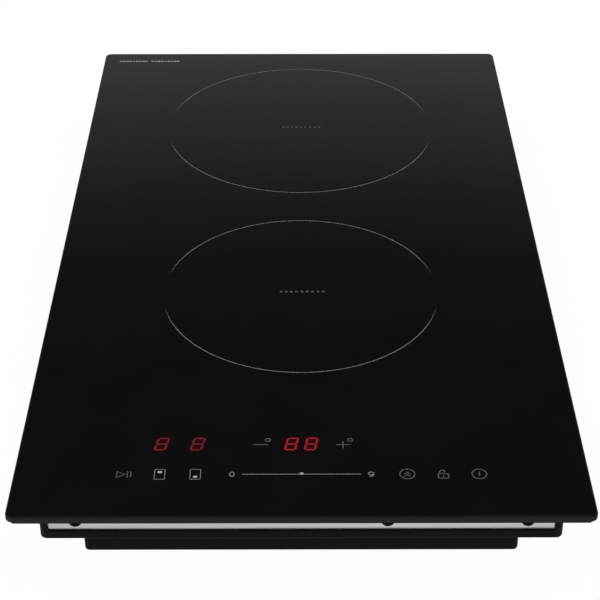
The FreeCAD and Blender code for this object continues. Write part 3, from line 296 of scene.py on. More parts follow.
# White polyamide terminals and connectors.
WHITE_POLYAMIDE = Finish("moulded_white_polyamide", "dcdad2", "cfccc2", 0.45, grain_mm=1.2, relief_mm=0.008)
# Epoxy-glass circuit board under green solder resist.
SOLDER_RESIST = Finish("green_solder_resist", "1f5a35", "174628", 0.35, spread=0.05, grain_mm=3.5,
                       relief_mm=0.02, coat=0.2)
# Epoxy moulded semiconductor packages and cores.
MOULDED_EPOXY = Finish("moulded_black_epoxy", "222222", "1a1a1a", 0.55, grain_mm=0.4, relief_mm=0.01)
# Film capacitors in flame-retardant cases.
CAPACITOR_CASE = Finish("red_capacitor_case", "9c2a1e", "8a2218", 0.35, grain_mm=1.0, relief_mm=0.006)
# Enamelled litz wire: copper strands under clear enamel.
LITZ = Finish("enamelled_litz_copper", "b4683a", "8d4a26", 0.38, metallic=1.0, grain_mm=0.8, relief_mm=0.15)
# Sintered ferrite.
FERRITE = Finish("sintered_ferrite", "3a3a3c", "2c2c2e", 0.6, grain_mm=0.5, relief_mm=0.02)
# Bonded mica paper: silvery brown flakes.
MICA = Finish("bonded_mica_paper", "b09a72", "8c7650", 0.45, spread=0.12, grain_mm=1.8, relief_mm=0.02,
              coat=0.2)
# Extruded rubber of the cable bush.
RUBBER = Finish("moulded_rubber", "161616", "101010", 0.7, specular=0.3, grain_mm=1.0, relief_mm=0.02)
# Display housings: smoked red acrylic.
SMOKED_ACRYLIC = Finish("smoked_red_acrylic", "2a0709", "1c0405", 0.15, grain_mm=6, relief_mm=0.0, coat=0.3)
# Conductive foam of the touch pads.
PAD_FOAM = Finish("conductive_pad_foam", "3a3a3b", "262627", 0.85, specular=0.2, grain_mm=0.5, relief_mm=0.06)
# Silicone wire covers, light grey.
WIRE_COVER = Finish("extruded_wire_cover", "a9a7a2", "99968f", 0.5, grain_mm=2.0, relief_mm=0.01)
# Brass terminal screws.
BRASS = Finish("turned_brass", "c9a15a", "a98343", 0.3, metallic=1.0, grain_mm=0.5, relief_mm=0.005)
# Ceramic fuse body.
FUSE_CERAMIC = Finish("glazed_fuse_ceramic", "ddd8cc", "cfc9ba", 0.3, grain_mm=1.5, relief_mm=0.01)
# Ceramic decor ink, screen printed and fired: pale grey, slightly uneven from the screen.
DECOR_INK = Finish("fired_decor_ink", "7a7b7c", "6c6d6e", 0.45, specular=0.2, grain_mm=0.4, relief_mm=0.003)
# The same ink, printed and fired as a thinner coat that lets more black through.
FAINT_INK = Finish("fired_decor_ink_thin", "525354", "464748", 0.45, specular=0.2, grain_mm=0.4,
                   relief_mm=0.003)
# The same ink, printed in fine lines and fired.
RING_INK = Finish("fired_decor_ink_fine", "707172", "626364", 0.45, specular=0.2, grain_mm=0.4,
                  relief_mm=0.003)
# The same ink, printed and fired as a thicker coat.
BRIGHT_INK = Finish("fired_decor_ink_double", "9c9d9e", "8f9092", 0.45, specular=0.2, grain_mm=0.4,
                    relief_mm=0.003)


@dataclass(frozen=True)
class CeramicGlass(Finish):
    """Rolled glass-ceramic: a fire-polished face, and edges that are ground and left dull, with painted shade
    on their bevels.

    Fields:
        edge: sRGB hex of the ground edge.
        painted_bevel_shade: sRGB hex of its bevels, painted darker than the edge as shade once they face
            upwards.
    """

    edge: str = "1d1d1e"
    # Painted shade: the bevels' darker tone stands in for the shade on them.
    painted_bevel_shade: str = "0a0a0a"

    def extras(self, tree: bpy.types.NodeTree, shader: bpy.types.Node) -> None:
        """Mix in a dull shader wherever the surface doesn't face up, its tone painted darker as shade on the
        bevels.
        """
        normal = add_node(tree, "NewGeometry").outputs["Normal"]
        upward = add_node(tree, "SeparateXYZ", None, {0: normal}).outputs["Z"]
        # Painted shade: the tone darkens from the ground edge to the bevels as the surface turns upwards.
        tone = ramp(tree, upward, ((0.15, linear(self.edge)), (0.4, linear(self.painted_bevel_shade))))
        ground = add_node(tree, "BsdfPrincipled", {"Roughness": 0.6, "Specular IOR Level": 0.12},
                          {"Base Color": tone})
        face = add_node(tree, "Math", {1: 0.9}, {0: upward}, operation="GREATER_THAN")
        mix = add_node(tree, "MixShader", None,
                       {0: face.outputs[0], 1: ground.outputs[0], 2: shader.outputs[0]})
        tree.links.new(mix.outputs[0], tree.nodes["Material Output"].inputs["Surface"])


@dataclass(frozen=True)
class LitSegment(Finish):
    """Light-emitting segments seen through the tinted glass: a glow that the diffuser leaves uneven.

    Fields:
        glow: sRGB hex where the light is strongest.
        dim: sRGB hex where it is weakest.
    """

    glow: str = "c81e32"
    dim: str = "8c1422"

    def extras(self, tree: bpy.types.NodeTree, shader: bpy.types.Node) -> None:
        """Light the segments, unevenly along the finish's noise."""
        source = tree.nodes["Noise Texture"].outputs["Fac"]
        tree.links.new(ramp(tree, source, ((0.35, linear(self.dim)), (0.6, linear(self.glow)))),
                       shader.inputs["Emission Color"])
        shader.inputs["Emission Strength"].default_value = 1.0


# Glass-ceramic, rolled and fire polished: black, mirror smooth, with only a trace of wiping marks.
CERAMIC = CeramicGlass("rolled_black_glass_ceramic", "0b0b0b", "090909", 0.035, spread=0.012,
                       grain_mm=35, relief_mm=0.0)
# Red light-emitting segments behind a moulded diffuser and the tinted glass.
TIMER_GLOW = LitSegment("timer_segment_glow", "30060a", "200406", 0.4, grain_mm=1.2, relief_mm=0.0,
                        glow="8a1428", dim="74101f")
# The same segments, dimmer, for the zones.
ZONE_GLOW = LitSegment("zone_segment_glow", "20060a", "180406", 0.4, grain_mm=0.9, relief_mm=0.0,
                       glow="5a1620", dim="4a121a")
# The same light scattered in the glass around each figure, in three steps outwards.
RED_SPILL = tuple(
    (reach, LitSegment(f"red_light_scattered_{step}", "070303", "050202", 0.1, spread=0.02, specular=0.25,
                       grain_mm=2.5, relief_mm=0.0, glow=glow, dim=dim))
    for step, reach, glow, dim in ((1, 0.25, "320206", "280105"), (2, 0.7, "240306", "1e0205"),
                                   (3, 1.15, "190306", "140205")))

FINISHES = {
    CERAMIC: ("glass_top",),
    BRIGHT_SHEET: ("support_frame",),
    BLACK_COAT: ("upper_case",),
    TRAY_COAT_PAINTED_LIGHTER: ("lower_tray",),
    BLACK_OXIDE: ("frame_screws", "case_screws"),
    ZINC: ("tray_screws", "board_screws", "clamp_screws", "clamp_front_left", "clamp_front_right",
           "clamp_rear_left", "clamp_rear_right"),
    MILL_ALUMINIUM: ("coil_deck", "heatsink"),
    SPRING_WIRE: ("rear_springs", "front_springs"),
    FOAM_TAPE: ("foam_seal",),
    SILICONE: ("glass_adhesive",),
    POLYAMIDE: ("fan_housing", "fan_stator", "fan_rotor", "terminal_cover", "cable_clamp", "control_carrier",
                "rear_coil_carrier", "front_coil_carrier", "rear_sensor", "front_sensor", "buzzer"),
    WHITE_POLYAMIDE: ("board_standoffs", "board_connectors", "terminal_block"),
    SOLDER_RESIST: ("power_board", "filter_board", "control_board"),
    MOULDED_EPOXY: ("power_semiconductors", "transformer"),
    CAPACITOR_CASE: ("resonance_capacitors", "link_capacitor", "suppression_capacitors"),
    LITZ: ("rear_winding", "front_winding", "filter_choke"),
    FERRITE: ("rear_ferrites", "front_ferrites"),
    MICA: ("rear_mica", "front_mica"),
    RUBBER: ("cable_bush",),
    SMOKED_ACRYLIC: ("timer_display", "zone_displays"),
    PAD_FOAM: ("touch_pads",),
    WIRE_COVER: ("ribbon_cable", "mains_wires", "fan_lead", "rear_coil_leads", "front_coil_leads"),
    BRASS: ("terminal_screws",),
    FUSE_CERAMIC: ("fuse",),
}


def dress_nodes() -> None:
    """Give every carried-over node its finish."""
    for finish, names in FINISHES.items():
        for name in names:
            mesh = NODES[name].data
            mesh.materials.clear()
            mesh.materials.append(finish.material())
            LOG.info("%s: %s", name, finish.name)


@dataclass
class InkSheet:
    """Flat marks in millimetres, gathered into one closed mesh on the glass.

    Fields:
        name: the piece's name.
        level: height of the glass's face, in metres.
        slot: the record's material slot; not used.
        thick: thickness of the ink, half of it sunk in the glass.
    """

    name: str
    level: float
    slot: str = "ceramic_glass"
    thick: float = 0.04
    mesh: bmesh.types.BMesh = field(default_factory=bmesh.new)

    def loop(self, points: Sequence[Point], lift: float) -> list[bmesh.types.BMVert]:
        """Add one ring of points at one side of the ink."""
        height = self.level + lift * self.thick * MM / 2
        return [self.mesh.verts.new((x * MM, y * MM, height)) for x, y in points]

    def patch(self, points: Sequence[Point]) -> None:
        """Add a filled mark from its outline, given anticlockwise."""
        top, base = self.loop(points, 1), self.loop(points, -1)
        self.mesh.faces.new(top)
        self.mesh.faces.new(base[::-1])
        for index in range(len(points)):
            after = (index + 1) % len(points)
            self.mesh.faces.new((base[index], base[after], top[after], top[index]))

    def band(self, left: Sequence[Point], right: Sequence[Point], closed: bool) -> None:
        """Add a ribbon between two lines of as many points, with left on the left of the way."""
        loops = [self.loop(points, lift) for points, lift in ((left, 1), (right, 1), (right, -1), (left, -1))]
        count = len(left)
        for side in range(4):
            first, second = loops[side], loops[(side + 1) % 4]
            for index in range(count if closed else count - 1):
                after = (index + 1) % count
                self.mesh.faces.new((first[index], second[index], second[after], first[after]))
        if not closed:
            self.mesh.faces.new([ring[0] for ring in loops][::-1])
            self.mesh.faces.new([ring[-1] for ring in loops])

    def line(self, points: Sequence[Point], width: float, closed: bool = False) -> None:
        """Add a stroke of one width, mitred at its corners."""
        path = [Vector(point) for point in points]
        left, right = [], []
        for index, point in enumerate(path):
            before = path[index - 1] if closed or index else None
            after = path[(index + 1) % len(path)] if closed or index + 1 < len(path) else None
            into = (point - before).normalized() if before is not None else None
            away = (after - point).normalized() if after is not None else None
            into, away = into or away, away or into
            normal = Vector((-(into + away).y, (into + away).x)).normalized()
            reach = width / 2 / max(0.4, normal.dot(Vector((-into.y, into.x))))
            left.append(tuple(point + normal * reach))
            right.append(tuple(point - normal * reach))
        self.band(left, right, closed)

    def arc(self, x: float, y: float, radius: float, width: float, start: float = 0, stop: float = 360,
            taper: float = 0, rise: float = 1) -> None:
        """Add a circle or an arc.

        Args:
            x: centre.
            y: centre.
            radius: radius of its middle line.
            width: its stroke.
            start: first angle, in degrees from +X.
            stop: last angle.
            taper: length of the thinning at each end, in degrees.
            rise: height of the figure over its width.
        """
        closed = stop - start >= 360
        steps = max(16, int(abs(stop - start) * max(radius, 6) / 90))
        inner, outer = [], []
        for index in range(steps if closed else steps + 1):
            angle = start + (stop - start) * index / steps
            share = min(1.0, (min(angle - start, stop - angle) + 0.2) / taper) if taper else 1.0
            turn = math.radians(angle)
            for points, side in ((outer, 1), (inner, -1)):
                reach = radius + side * width * share / 2
                points.append((x + reach * math.cos(turn), y + reach * math.sin(turn) * rise))
        self.band(inner, outer, closed)

    def disc(self, x: float, y: float, radius: float, rise: float = 1) -> None:
        """Add a filled circle or ellipse."""
        count = 24
        self.patch([(x + radius * math.cos(math.tau * index / count),
                     y + radius * rise * math.sin(math.tau * index / count)) for index in range(count)])

    def bar(self, x: float, y: float, width: float, depth: float) -> None:
        """Add a filled rectangle about its centre."""
        half_x, half_y = width / 2, depth / 2
        self.patch([(x - half_x, y - half_y), (x + half_x, y - half_y), (x + half_x, y + half_y),
                    (x - half_x, y + half_y)])

    def frame(self, x: float, y: float, width: float, depth: float, corner: float, stroke: float) -> None:
        """Add the outline of a rounded rectangle.

        Args:
            x: centre.
            y: centre.
            width: size along X, between its middle lines.
            depth: size along Y, between its middle lines.
            corner: radius of its corners.
            stroke: width of its line.
        """
        outline = rounded(width / 2 - corner, depth / 2 - corner, corner)
        self.line([(x + across, y + up) for across, up in outline], stroke, closed=True)

    def build(self, finish: Finish) -> bpy.types.Object:
        """Close the mesh, dress it and let it ride on the hob.

        Returns:
            The new piece.
        """
        bmesh.ops.recalc_face_normals(self.mesh, faces=self.mesh.faces)
        data = bpy.data.meshes.new(self.name)
        self.mesh.to_mesh(data)
        self.mesh.free()
        piece = bpy.data.objects.new(self.name, data)
        bpy.context.scene.collection.objects.link(piece)
        data.materials.append(finish.material())
        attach(piece, "hob")
        LOG.info("%s: %d faces", self.name, len(data.polygons))
        return piece


@dataclass
class ZonePrint:
    """The two cooking zones' rings, their centre marks and the row of marks at the back edge, in millimetres.

    Fields:
        level: height of the glass's face, in metres.
        rear_y: the rear zone's centre.
        front_y: the front zone's centre.
        rear_radius: middle radius of the rear ring.
        front_radius: middle radius of the front ring.
        stroke: the rings' stroke.
        gap: degrees left open on each side of +X and -X.
        fade: degrees over which an arc thins at its ends.
        centre_xs: places of the centre marks.
        centre_drop: how far the centre marks stand before the centre.
        centre_mark: width and depth of a centre mark.
        edge_xs: first mark of each group at the back edge.
        edge_inset: from the back edge to the groups.
        edge_count: marks in a group.
        edge_pitch: from one mark to the next.
        edge_widths: the marks' widths, in turn.
        edge_depth: their depth.
    """

    level: float
    rear_y: float
    front_y: float
    rear_radius: float = 90.0
    front_radius: float = 80.0
    stroke: float = 0.5
    gap: float = 13.0
    fade: float = 16.0
    centre_xs: Sequence[float] = (-11.4, -8.4, -5.4, -2.4, 0.8, 3.8, 7.0, 10.2, 13.2)
    centre_drop: float = 0.4
    centre_mark: tuple[float, float] = (1.6, 1.4)
    edge_xs: Sequence[float] = (-132.4, -109.0)
    edge_inset: float = 13.2
    edge_count: int = 9
    edge_pitch: float = 2.38
    edge_widths: Sequence[float] = (2.1, 1.5, 2.2, 1.8, 1.3)
    edge_depth: float = 1.5

    def build(self) -> None:
        """Print the rings and marks."""
        rings = InkSheet("zone_rings", self.level)
        for y, radius in ((self.rear_y, self.rear_radius), (self.front_y, self.front_radius)):
            for start in (self.gap, 180 + self.gap):
                rings.arc(0, y, radius, self.stroke, start, start + 180 - 2 * self.gap, taper=self.fade)
        rings.build(RING_INK)
        marks = InkSheet("zone_centre_marks", self.level)
        for y in (self.rear_y, self.front_y):
            for x in self.centre_xs:
                marks.bar(x, y - self.centre_drop, *self.centre_mark)
        marks.build(FAINT_INK)
        strip = InkSheet("back_edge_marks", self.level)
        edge_y = CAD_BOX[1][1] / MM - self.edge_inset
        for first in self.edge_xs:
            for index in range(self.edge_count):
                strip.bar(first + index * self.edge_pitch, edge_y,
                          self.edge_widths[index % len(self.edge_widths)], self.edge_depth)
        strip.build(BRIGHT_INK)


@dataclass
class KeyPrint:
    """The touch keys' symbols, on the row nearest the user and the row of the digits, in millimetres.

    Fields:
        level: height of the glass's face, in metres.
        key_y: the front row's place.
        digit_y: the digits' row.
        slider_span: the slider's ends.
        figure_x: how far the slider's figures stand to each side.
        pause_x: the triangle's base.
        pause_bar_xs: the two bars beside it.
        picker_xs: the rear and the front zone's keys.
        picker_lifts: how far each one's dot stands off its middle.
        boost_x: the chevrons' key.
        lock_x: the padlock.
        power_x: the power key.
        minus_span: the minus sign's ends.
        plus_x: the plus sign.
        clock_xs: the small clocks beside them.
        boost_radius: middle radius of the chevrons' circle.
        power_radius: middle radius of the power key's circle.
        clock_radius: middle radius of a clock.
    """

    level: float
    key_y: float
    digit_y: float
    slider_span: tuple[float, float] = (-29.8, 30.0)
    figure_x: float = 34.9
    pause_x: float = -92.6
    pause_bar_xs: Sequence[float] = (-87.3, -85.6)
    picker_xs: Sequence[float] = (-71.1, -53.2)
    picker_lifts: Sequence[float] = (1.7, -1.9)
    boost_x: float = 53.1
    lock_x: float = 71.1
    power_x: float = 89.2
    minus_span: tuple[float, float] = (-24.8, -17.0)
    plus_x: float = 21.4
    clock_xs: Sequence[float] = (-17.2, 25.2)
    boost_radius: float = 3.75
    power_radius: float = 3.65
    clock_radius: float = 1.35

    def build(self) -> None:
        """Print the symbols."""
        fine = InkSheet("slider_and_zone_frames", self.level)
        dots = InkSheet("slider_and_zone_dots", self.level, thick=0.05)
        self.slider(fine, dots)
        self.zone_pickers(fine, dots)
        fine.build(RING_INK)
        dots.build(BRIGHT_INK)
        ends = InkSheet("slider_figures", self.level)
        self.slider_ends(ends)
        ends.build(DECOR_INK)
        faint = InkSheet("key_symbols", self.level)
        for symbol in (self.pause, self.boost, self.lock, self.power, self.timer_keys):
            symbol(faint)
        faint.build(FAINT_INK)

    def slider(self, ink: InkSheet, dots: InkSheet) -> None:
        """The power slider, with a dot at its middle."""
        ink.line([(x, self.key_y) for x in self.slider_span], 0.55)
        dots.disc(0.1, self.key_y + 0.45, 0.95, rise=0.95)

    def slider_ends(self, ink: InkSheet) -> None:
        """The figures 0 and 9 at the slider's ends."""
        x, y = self.figure_x, self.key_y
        ink.arc(-x, y, 1.15, 0.46, rise=1.5)
        ink.arc(x, y + 0.5, 1.3, 0.65, rise=0.85)
        ink.line([(x + 1.3, y + 0.4), (x + 1.2, y - 0.7), (x + 0.6, y - 1.5), (x - 0.7, y - 1.7)], 0.65)

    def pause(self, ink: InkSheet) -> None:
        """A triangle and two bars."""
        x, y = self.pause_x, self.key_y
        ink.line([(x, y - 2.3), (x + 4.0, y), (x, y + 2.3)], 0.45, closed=True)
        for bar_x in self.pause_bar_xs:
            ink.bar(bar_x, y, 0.6, 4.4)

    def zone_pickers(self, ink: InkSheet, dots: InkSheet) -> None:
        """Two framed squares, each with a dot where its zone lies."""
        for x, dot in zip(self.picker_xs, self.picker_lifts):
            ink.frame(x, self.key_y, 5.2, 7.7, 0.4, 0.43)
            dots.disc(x, self.key_y + dot, 1.2, rise=0.75)

    def boost(self, ink: InkSheet) -> None:
        """Two chevrons in a circle."""
        x = self.boost_x
        ink.arc(x, self.key_y, self.boost_radius, 0.6)
        for lift in (-1.2, 0.5):
            foot, tip = self.key_y + lift - 0.4, self.key_y + lift + 0.9
            ink.line([(x - 1.5, foot), (x, tip), (x + 1.5, foot)], 0.55)

    def lock(self, ink: InkSheet) -> None:
        """A padlock with its shackle open."""
        x, y = self.lock_x, self.key_y
        ink.frame(x, y - 1.5, 5.0, 3.6, 0.6, 0.6)
        ink.arc(x - 0.3, y + 1.0, 1.5, 0.55, 20, 200, rise=1.3)
        ink.line([(x, y - 0.7), (x, y - 2.4)], 0.5)

    def power(self, ink: InkSheet) -> None:
        """A bar in a circle."""
        x, y = self.power_x, self.key_y
        ink.arc(x, y, self.power_radius, 0.6)
        ink.line([(x, y - 1.5), (x, y + 1.6)], 0.6)

    def timer_keys(self, ink: InkSheet) -> None:
        """Minus and plus, each with a small clock."""
        ink.line([(x, self.digit_y - 0.5) for x in self.minus_span], 0.65)
        half, arm, high = 0.28, 3.7, 2.9
        x, y = self.plus_x, self.digit_y - 0.6
        ink.patch([(x - half, y - high), (x + half, y - high), (x + half, y - half), (x + arm, y - half),
                   (x + arm, y + half), (x + half, y + half), (x + half, y + high), (x - half, y + high),
                   (x - half, y + half), (x - arm, y + half), (x - arm, y - half), (x - half, y - half)])
        y = self.digit_y
        for clock in self.clock_xs:
            ink.arc(clock, y + 3.2, self.clock_radius, 0.5)
            ink.line([(clock, y + 3.9), (clock, y + 3.1), (clock + 0.6, y + 2.8)], 0.32)


@dataclass
class Digit:
    """One seven-segment figure, all segments lit, leaning to the right.

    Fields:
        x: centre.
        y: centre.
        width: width over its segments.
        height: height over its segments.
        bar: width of a segment.
        lean: how far it leans for each unit of height.
        cut: gap at each end of a segment.
        wash_corner: corner radius of the light around it, before its reach is added.
    """

    x: float
    y: float
    width: float = 6.3
    height: float = 10.3
    bar: float = 1.05
    lean: float = 0.13
    cut: float = 0.15
    wash_corner: float = 0.6

    def lay(self, ink: InkSheet) -> None:
        """Add the seven segments."""
        half_x, half_y = self.width / 2 - self.bar / 2, self.height / 2 - self.bar / 2
        for level in (-half_y, 0, half_y):
            self.segment(ink, (-half_x, level), (half_x, level))
        for side in (-half_x, half_x):
            self.segment(ink, (side, -half_y), (side, 0))
            self.segment(ink, (side, 0), (side, half_y))

    def wash(self, ink: InkSheet, reach: float) -> None:
        """Add the rounded patch of light that reaches past the figure's outline."""
        corner = self.wash_corner + reach
        outline = rounded(self.width / 2 + reach - corner, self.height / 2 + reach - corner, corner)
        ink.patch([(self.x + x + self.lean * y, self.y + y) for x, y in outline])

    def segment(self, ink: InkSheet, start: Point, end: Point) -> None:
        """Add one pointed bar from start to end."""
        first, last = Vector(start), Vector(end)
        along = (last - first).normalized()
        across = Vector((-along.y, along.x)) * self.bar / 2
        tip = along * self.cut
        shoulder = along * (self.bar / 2 + self.cut)
        corners = (first + tip, first + shoulder - across, last - shoulder - across, last - tip,
                   last - shoulder + across, first + shoulder + across)
        ink.patch([(self.x + point.x + self.lean * point.y, self.y + point.y) for point in corners])


@dataclass
class LitDigits:
    """The timer's two figures and one figure for each zone.

    Fields:
        level: height of the glass's face, in metres.
        digit_y: their row, in mm.
        timer_x: places of the timer's figures.
        zone_x: places of the zones' figures.
        timer_lean: lean of the timer's figures.
        zone_lean: lean of the zones' figures.
        lit_thick: thickness of the lit layer, in mm.
        spill_thick: thickness of the innermost step of spilt light.
        spill_thinner: how much thinner each further step is, so that the steps never lie in one plane.
    """

    level: float
    digit_y: float
    timer_x: Sequence[float] = (-5.0, 5.1)
    zone_x: Sequence[float] = (-71.6, -53.1)
    timer_lean: float = 0.17
    zone_lean: float = 0.2
    lit_thick: float = 0.06
    spill_thick: float = 0.05
    spill_thinner: float = 0.01

    def build(self) -> None:
        """Lay the lit segments, and the red that they spill into the glass around them."""
        for name, places, finish, lean in (("timer", self.timer_x, TIMER_GLOW, self.timer_lean),
                                           ("zone", self.zone_x, ZONE_GLOW, self.zone_lean)):
            ink = InkSheet(f"{name}_segments", self.level, slot="display_plastic", thick=self.lit_thick)
            figures = [Digit(x, self.digit_y, lean=lean) for x in places]
            for figure in figures:
                figure.lay(ink)
            ink.build(finish)
            for step, (reach, glow) in enumerate(RED_SPILL):
                spill = InkSheet(f"{name}_spill_{step + 1}", self.level, slot="display_plastic",
                                 thick=self.spill_thick - self.spill_thinner * step)
                for figure in figures:
                    figure.wash(spill, reach)
                spill.build(glow)


@dataclass
class FloatingCoil:
    """What gives under one floating coil: its three springs and its two leads, in millimetres.

    Fields:
        zone: the zone's name in the frame.
        travel: how far the coil can be pressed down; not used.
        wire: radius of the spring wire.
        index: middle radius of a spring over its wire's.
        dead_climb: climb of a closed turn over the wire's radius; just over 2, so that turns don't touch.
        turns: open turns of a spring.
        dead_turns: closed turns at each of its ends.
        lead: radius of a lead with its cover.
        run: straight length beside each of a lead's bends.
        sides: faces round a wire.
        steps: sections in one turn.
    """

    zone: str
    travel: float = 2.5
    wire: float = 0.5
    index: float = 9.0
    dead_climb: float = 2.1
    turns: float = 3.0
    dead_turns: float = 0.75
    lead: float = 1.5
    run: float = 5.0
    sides: int = 10
    steps: int = 28

    def build(self) -> None:
        """Make both pieces."""
        self.give(self.springs(), f"{self.zone}_springs", SPRING_WIRE)
        self.give(self.leads(), f"{self.zone}_coil_leads", WIRE_COVER)

    def give(self, data: bpy.types.Mesh, node: str, finish: Finish) -> None:
        """Put a piece in its node's place and hide the node.

        Args:
            data: the piece's mesh.
            node: the node that it stands for.
            finish: its finish.
        """
        piece = bpy.data.objects.new(f"{node}_wire", data)
        bpy.context.scene.collection.objects.link(piece)
        data.materials.append(finish.material())
        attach(piece, "hob")
        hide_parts(node)
        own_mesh(piece)
        LOG.info("%s: %d faces", piece.name, len(data.polygons))

    def springs(self) -> bpy.types.Mesh:
        """Wind the three springs, one behind or before the coil and two beside it."""
        low, high = (Vector(corner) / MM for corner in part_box(f"{self.zone}_springs"))
        reach = self.radius() + self.wire
        mesh = bmesh.new()
        for x, y in (((low.x + high.x) / 2, high.y - reach), (low.x + reach, low.y + reach),
                     (high.x - reach, low.y + reach)):
            self.wind(mesh, x, y, low.z + self.wire, high.z - self.wire)
        bmesh.ops.recalc_face_normals(mesh, faces=mesh.faces)
        data = bpy.data.meshes.new(f"{self.zone}_springs_wire")
        mesh.to_mesh(data)
        mesh.free()
        data.shade_smooth()
        return data

    def radius(self) -> float:
        """Middle radius of a spring."""
        return self.index * self.wire

    def height(self, turn: float, rise: float) -> float:
        """How far the wire has climbed after some turns.

        Args:
            turn: turns from the foot.
            rise: the whole climb.

        Returns:
            The climb so far, slow in the dead turns and even between them.
        """
        closed = self.dead_climb * self.wire
        foot = closed * min(turn, self.dead_turns)
        head = closed * max(0.0, turn - self.dead_turns - self.turns)
        open_share = min(1.0, max(0.0, (turn - self.dead_turns) / self.turns))
        return foot + head + open_share * (rise - 2 * closed * self.dead_turns)

    def wind(self, mesh: bmesh.types.BMesh, x: float, y: float, low: float, high: float) -> None:
        """Wind one spring about (x, y), its wire's middle climbing from low to high."""
        whole = self.turns + 2 * self.dead_turns
        count = int(whole * self.steps)
        rings = []
        for index in range(count + 1):
            turn = whole * index / count
            out = Vector((math.cos(math.tau * turn), math.sin(math.tau * turn), 0))
            middle = Vector((x, y, low + self.height(turn, high - low))) + out * self.radius()
            angles = [math.tau * side / self.sides for side in range(self.sides)]
            around = [middle + self.wire * Vector((out.x * math.cos(angle), out.y * math.cos(angle),
                                                   math.sin(angle))) for angle in angles]
            rings.append([mesh.verts.new(place * MM) for place in around])
        for first, second in zip(rings, rings[1:]):
            for side in range(self.sides):
                after = (side + 1) % self.sides
                mesh.faces.new((first[side], second[side], second[after], first[after]))
        mesh.faces.new(rings[0])
        mesh.faces.new(rings[-1][::-1])

    def leads(self) -> bpy.types.Mesh:
        """Run both leads from the coil through the deck to their sockets, with soft bends."""
        low, high = (Vector(corner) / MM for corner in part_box(f"{self.zone}_coil_leads"))
        coil_y, socket_y = high.y - self.lead, low.y + self.lead
        level = (low.z + high.z) / 2 - 2 * self.lead
        curve = bpy.data.curves.new(f"{self.zone}_leads", "CURVE")
        curve.dimensions = "3D"
        curve.bevel_depth = self.lead * MM
        curve.bevel_resolution = 3
        curve.use_fill_caps = True
        for x in (low.x + self.lead, high.x - self.lead):
            points = [(x, coil_y, high.z), (x, coil_y, level + self.run), (x, coil_y, level)]
            if coil_y - socket_y > 2 * self.run:
                points += [(x, coil_y - self.run, level), (x, socket_y + self.run, level),
                           (x, socket_y, level)]
            points += [(x, socket_y, level - self.run), (x, socket_y, low.z)]
            spline = curve.splines.new("NURBS")
            spline.points.add(len(points) - 1)
            for point, place in zip(spline.points, points):
                point.co = (*(Vector(place) * MM), 1.0)
            spline.order_u = 3
            spline.use_endpoint_u = True
            spline.resolution_u = 6
        carrier = bpy.data.objects.new(curve.name, curve)
        data = bpy.data.meshes.new_from_object(carrier)
        bpy.data.objects.remove(carrier)
        data.name = f"{self.zone}_coil_leads_wire"
        return data


@dataclass(frozen=True)
class Lamp:
    """One soft box that faces the hob.

    Fields:
        name: the lamp's name.
        azimuth: degrees from +X, towards +Y.
        elevation: degrees above the floor.
        reach: distance from the hob, in metres.
        power: watts.
        side: length of its square side, in metres.
    """

    name: str
    azimuth: float
    elevation: float
    reach: float
    power: float
    side: float = 1.1

    def hang(self) -> None:
        """Add the lamp to the scene."""
        light = bpy.data.lights.new(self.name, "AREA")
        light.shape = "SQUARE"
        light.size = self.side
        light.energy = self.power
        lamp = bpy.data.objects.new(self.name, light)
        bpy.context.scene.collection.objects.link(lamp)
        turn, rise = math.radians(self.azimuth), math.radians(self.elevation)
        way = Vector((math.cos(turn) * math.cos(rise), math.sin(turn) * math.cos(rise), math.sin(rise)))
        lamp.location = way * self.reach
        lamp.rotation_euler = way.to_track_quat("Z", "Y").to_euler()


# Two side boxes and a weaker one over the user's place.
LAMPS = (Lamp("left_box", 180, 56, 1.7, 14),
         Lamp("right_box", 0, 56, 1.7, 14),
         Lamp("front_box", -90, 50, 1.8, 9))


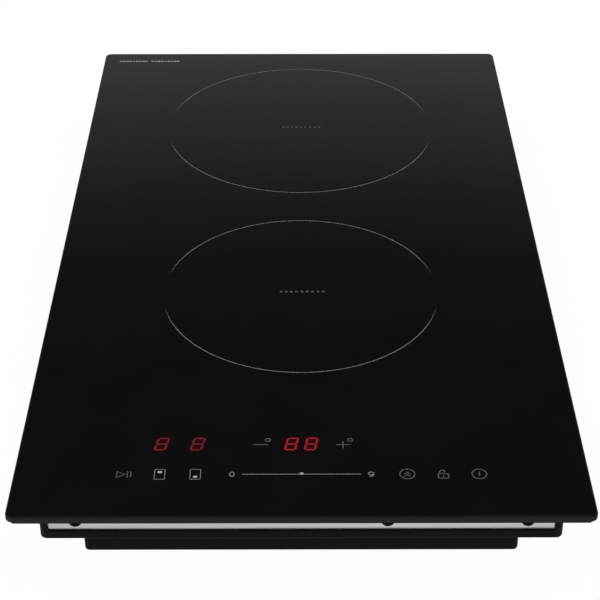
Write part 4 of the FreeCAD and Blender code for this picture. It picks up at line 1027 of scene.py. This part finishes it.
@dataclass
class Studio:
    """The pale floor, the room's glow and the camera.

    Fields:
        height: height of the glass's face, in metres.
        floor_glow: share of plain white in the floor that the camera and mirrors see; the rest is lit.
        floor_reach: half the floor's side, in metres.
        floor_drop: gap under the hob, in metres.
        lens: focal length in mm on a sensor of `sensor` mm.
        sensor: width of the sensor.
        place: the camera's place over the middle of the glass's face, in metres.
        pitch: degrees that the camera looks down.
        yaw: degrees that it looks away from +Y.
        room: heights of the room, from straight down to straight up, and the grey at each.
    """

    height: float
    floor_glow: float = 0.97
    floor_reach: float = 6.0
    floor_drop: float = 0.0002
    lens: float = 98.16
    sensor: float = 36.0
    place: Sequence[float] = (-0.00219, -0.86001, 0.52961)
    pitch: float = 33.877
    yaw: float = -0.132
    room: Sequence[tuple[float, float]] = (
        (0.0, 0.42), (0.40, 0.37), (0.427, 0.32), (0.447, 0.24), (0.475, 0.165),
        (0.503, 0.092), (0.535, 0.044), (0.57, 0.026), (0.66, 0.022), (1.0, 0.03))

    def floor(self) -> None:
        """A white floor that keeps a faint shadow."""
        data = bpy.data.meshes.new("floor")
        reach = self.floor_reach
        corners = [(-reach, -reach, 0), (reach, -reach, 0), (reach, reach, 0), (-reach, reach, 0)]
        data.from_pydata(corners, [], [(0, 1, 2, 3)])
        piece = bpy.data.objects.new("floor", data)
        bpy.context.scene.collection.objects.link(piece)
        piece.location.z = -self.floor_drop
        material = bpy.data.materials.new("white_sweep")
        material.use_nodes = True
        tree = material.node_tree
        tree.nodes.clear()
        rays = shown_to(tree, "Is Camera Ray", "Is Glossy Ray", "Is Transmission Ray")
        seen = add_node(tree, "Math", {1: self.floor_glow}, {0: rays}, operation="MULTIPLY")
        matt = add_node(tree, "BsdfDiffuse", {"Color": linear("f4f4f4")})
        glow = add_node(tree, "Emission", {"Color": (1, 1, 1, 1), "Strength": 1.0})
        mix = add_node(tree, "MixShader", None, {0: seen.outputs[0], 1: matt.outputs[0], 2: glow.outputs[0]})
        add_node(tree, "OutputMaterial", None, {"Surface": mix.outputs[0]})
        data.materials.append(material)

    def world(self) -> None:
        """A room that is pale low down and dark above, and plain white to the camera.

        Glossy rays see the room and not the white, so that the glass mirrors a dark room.
        """
        world = bpy.data.worlds.new("room")
        bpy.context.scene.world = world
        world.use_nodes = True
        tree = world.node_tree
        tree.nodes.clear()
        way = add_node(tree, "TexCoord").outputs["Generated"]
        height = add_node(tree, "SeparateXYZ", None, {0: way}).outputs["Z"]
        glow = ramp(tree, height, [(at, (level, level, level, 1)) for at, level in self.room])
        soft = add_node(tree, "Background", None, {"Color": glow})
        white = add_node(tree, "Background", {"Color": (1, 1, 1, 1)})
        rays = shown_to(tree, "Is Camera Ray", "Is Transmission Ray")
        mix = add_node(tree, "MixShader", None, {0: rays, 1: soft.outputs[0], 2: white.outputs[0]})
        add_node(tree, "OutputWorld", None, {"Surface": mix.outputs[0]})

    def camera(self) -> None:
        """The camera, in front of the hob and above it."""
        data = bpy.data.cameras.new("camera")
        data.lens = self.lens
        data.sensor_width = self.sensor
        camera = bpy.data.objects.new("camera", data)
        x, y, rise = self.place
        camera.location = (x, y, self.height + rise)
        camera.rotation_euler = (math.radians(90 - self.pitch), 0.0, math.radians(self.yaw))
        bpy.context.scene.collection.objects.link(camera)
        bpy.context.scene.camera = camera

    def build(self) -> None:
        """Set the scene."""
        self.floor()
        self.world()
        for lamp in LAMPS:
            lamp.hang()
        self.camera()
        bpy.context.scene.view_settings.view_transform = "Standard"


def main() -> None:
    """Dress the hob, print its glass and light it."""
    logging.basicConfig(level=logging.INFO, format="%(name)s %(message)s")
    height = CAD_BOX[1][2]
    front = CAD_BOX[0][1] / MM
    back = CAD_BOX[1][1] / MM
    dress_nodes()
    ZonePrint(height, rear_y=back - REAR_ZONE_FROM_BACK, front_y=front + FRONT_ZONE_FROM_FRONT).build()
    KeyPrint(height, key_y=front + KEYS_FROM_FRONT, digit_y=front + DIGITS_FROM_FRONT).build()
    LitDigits(height, digit_y=front + DIGITS_FROM_FRONT).build()
    for zone in ("rear", "front"):
        FloatingCoil(zone).build()
    Studio(height).build()


if __name__ == "__main__":
    main()
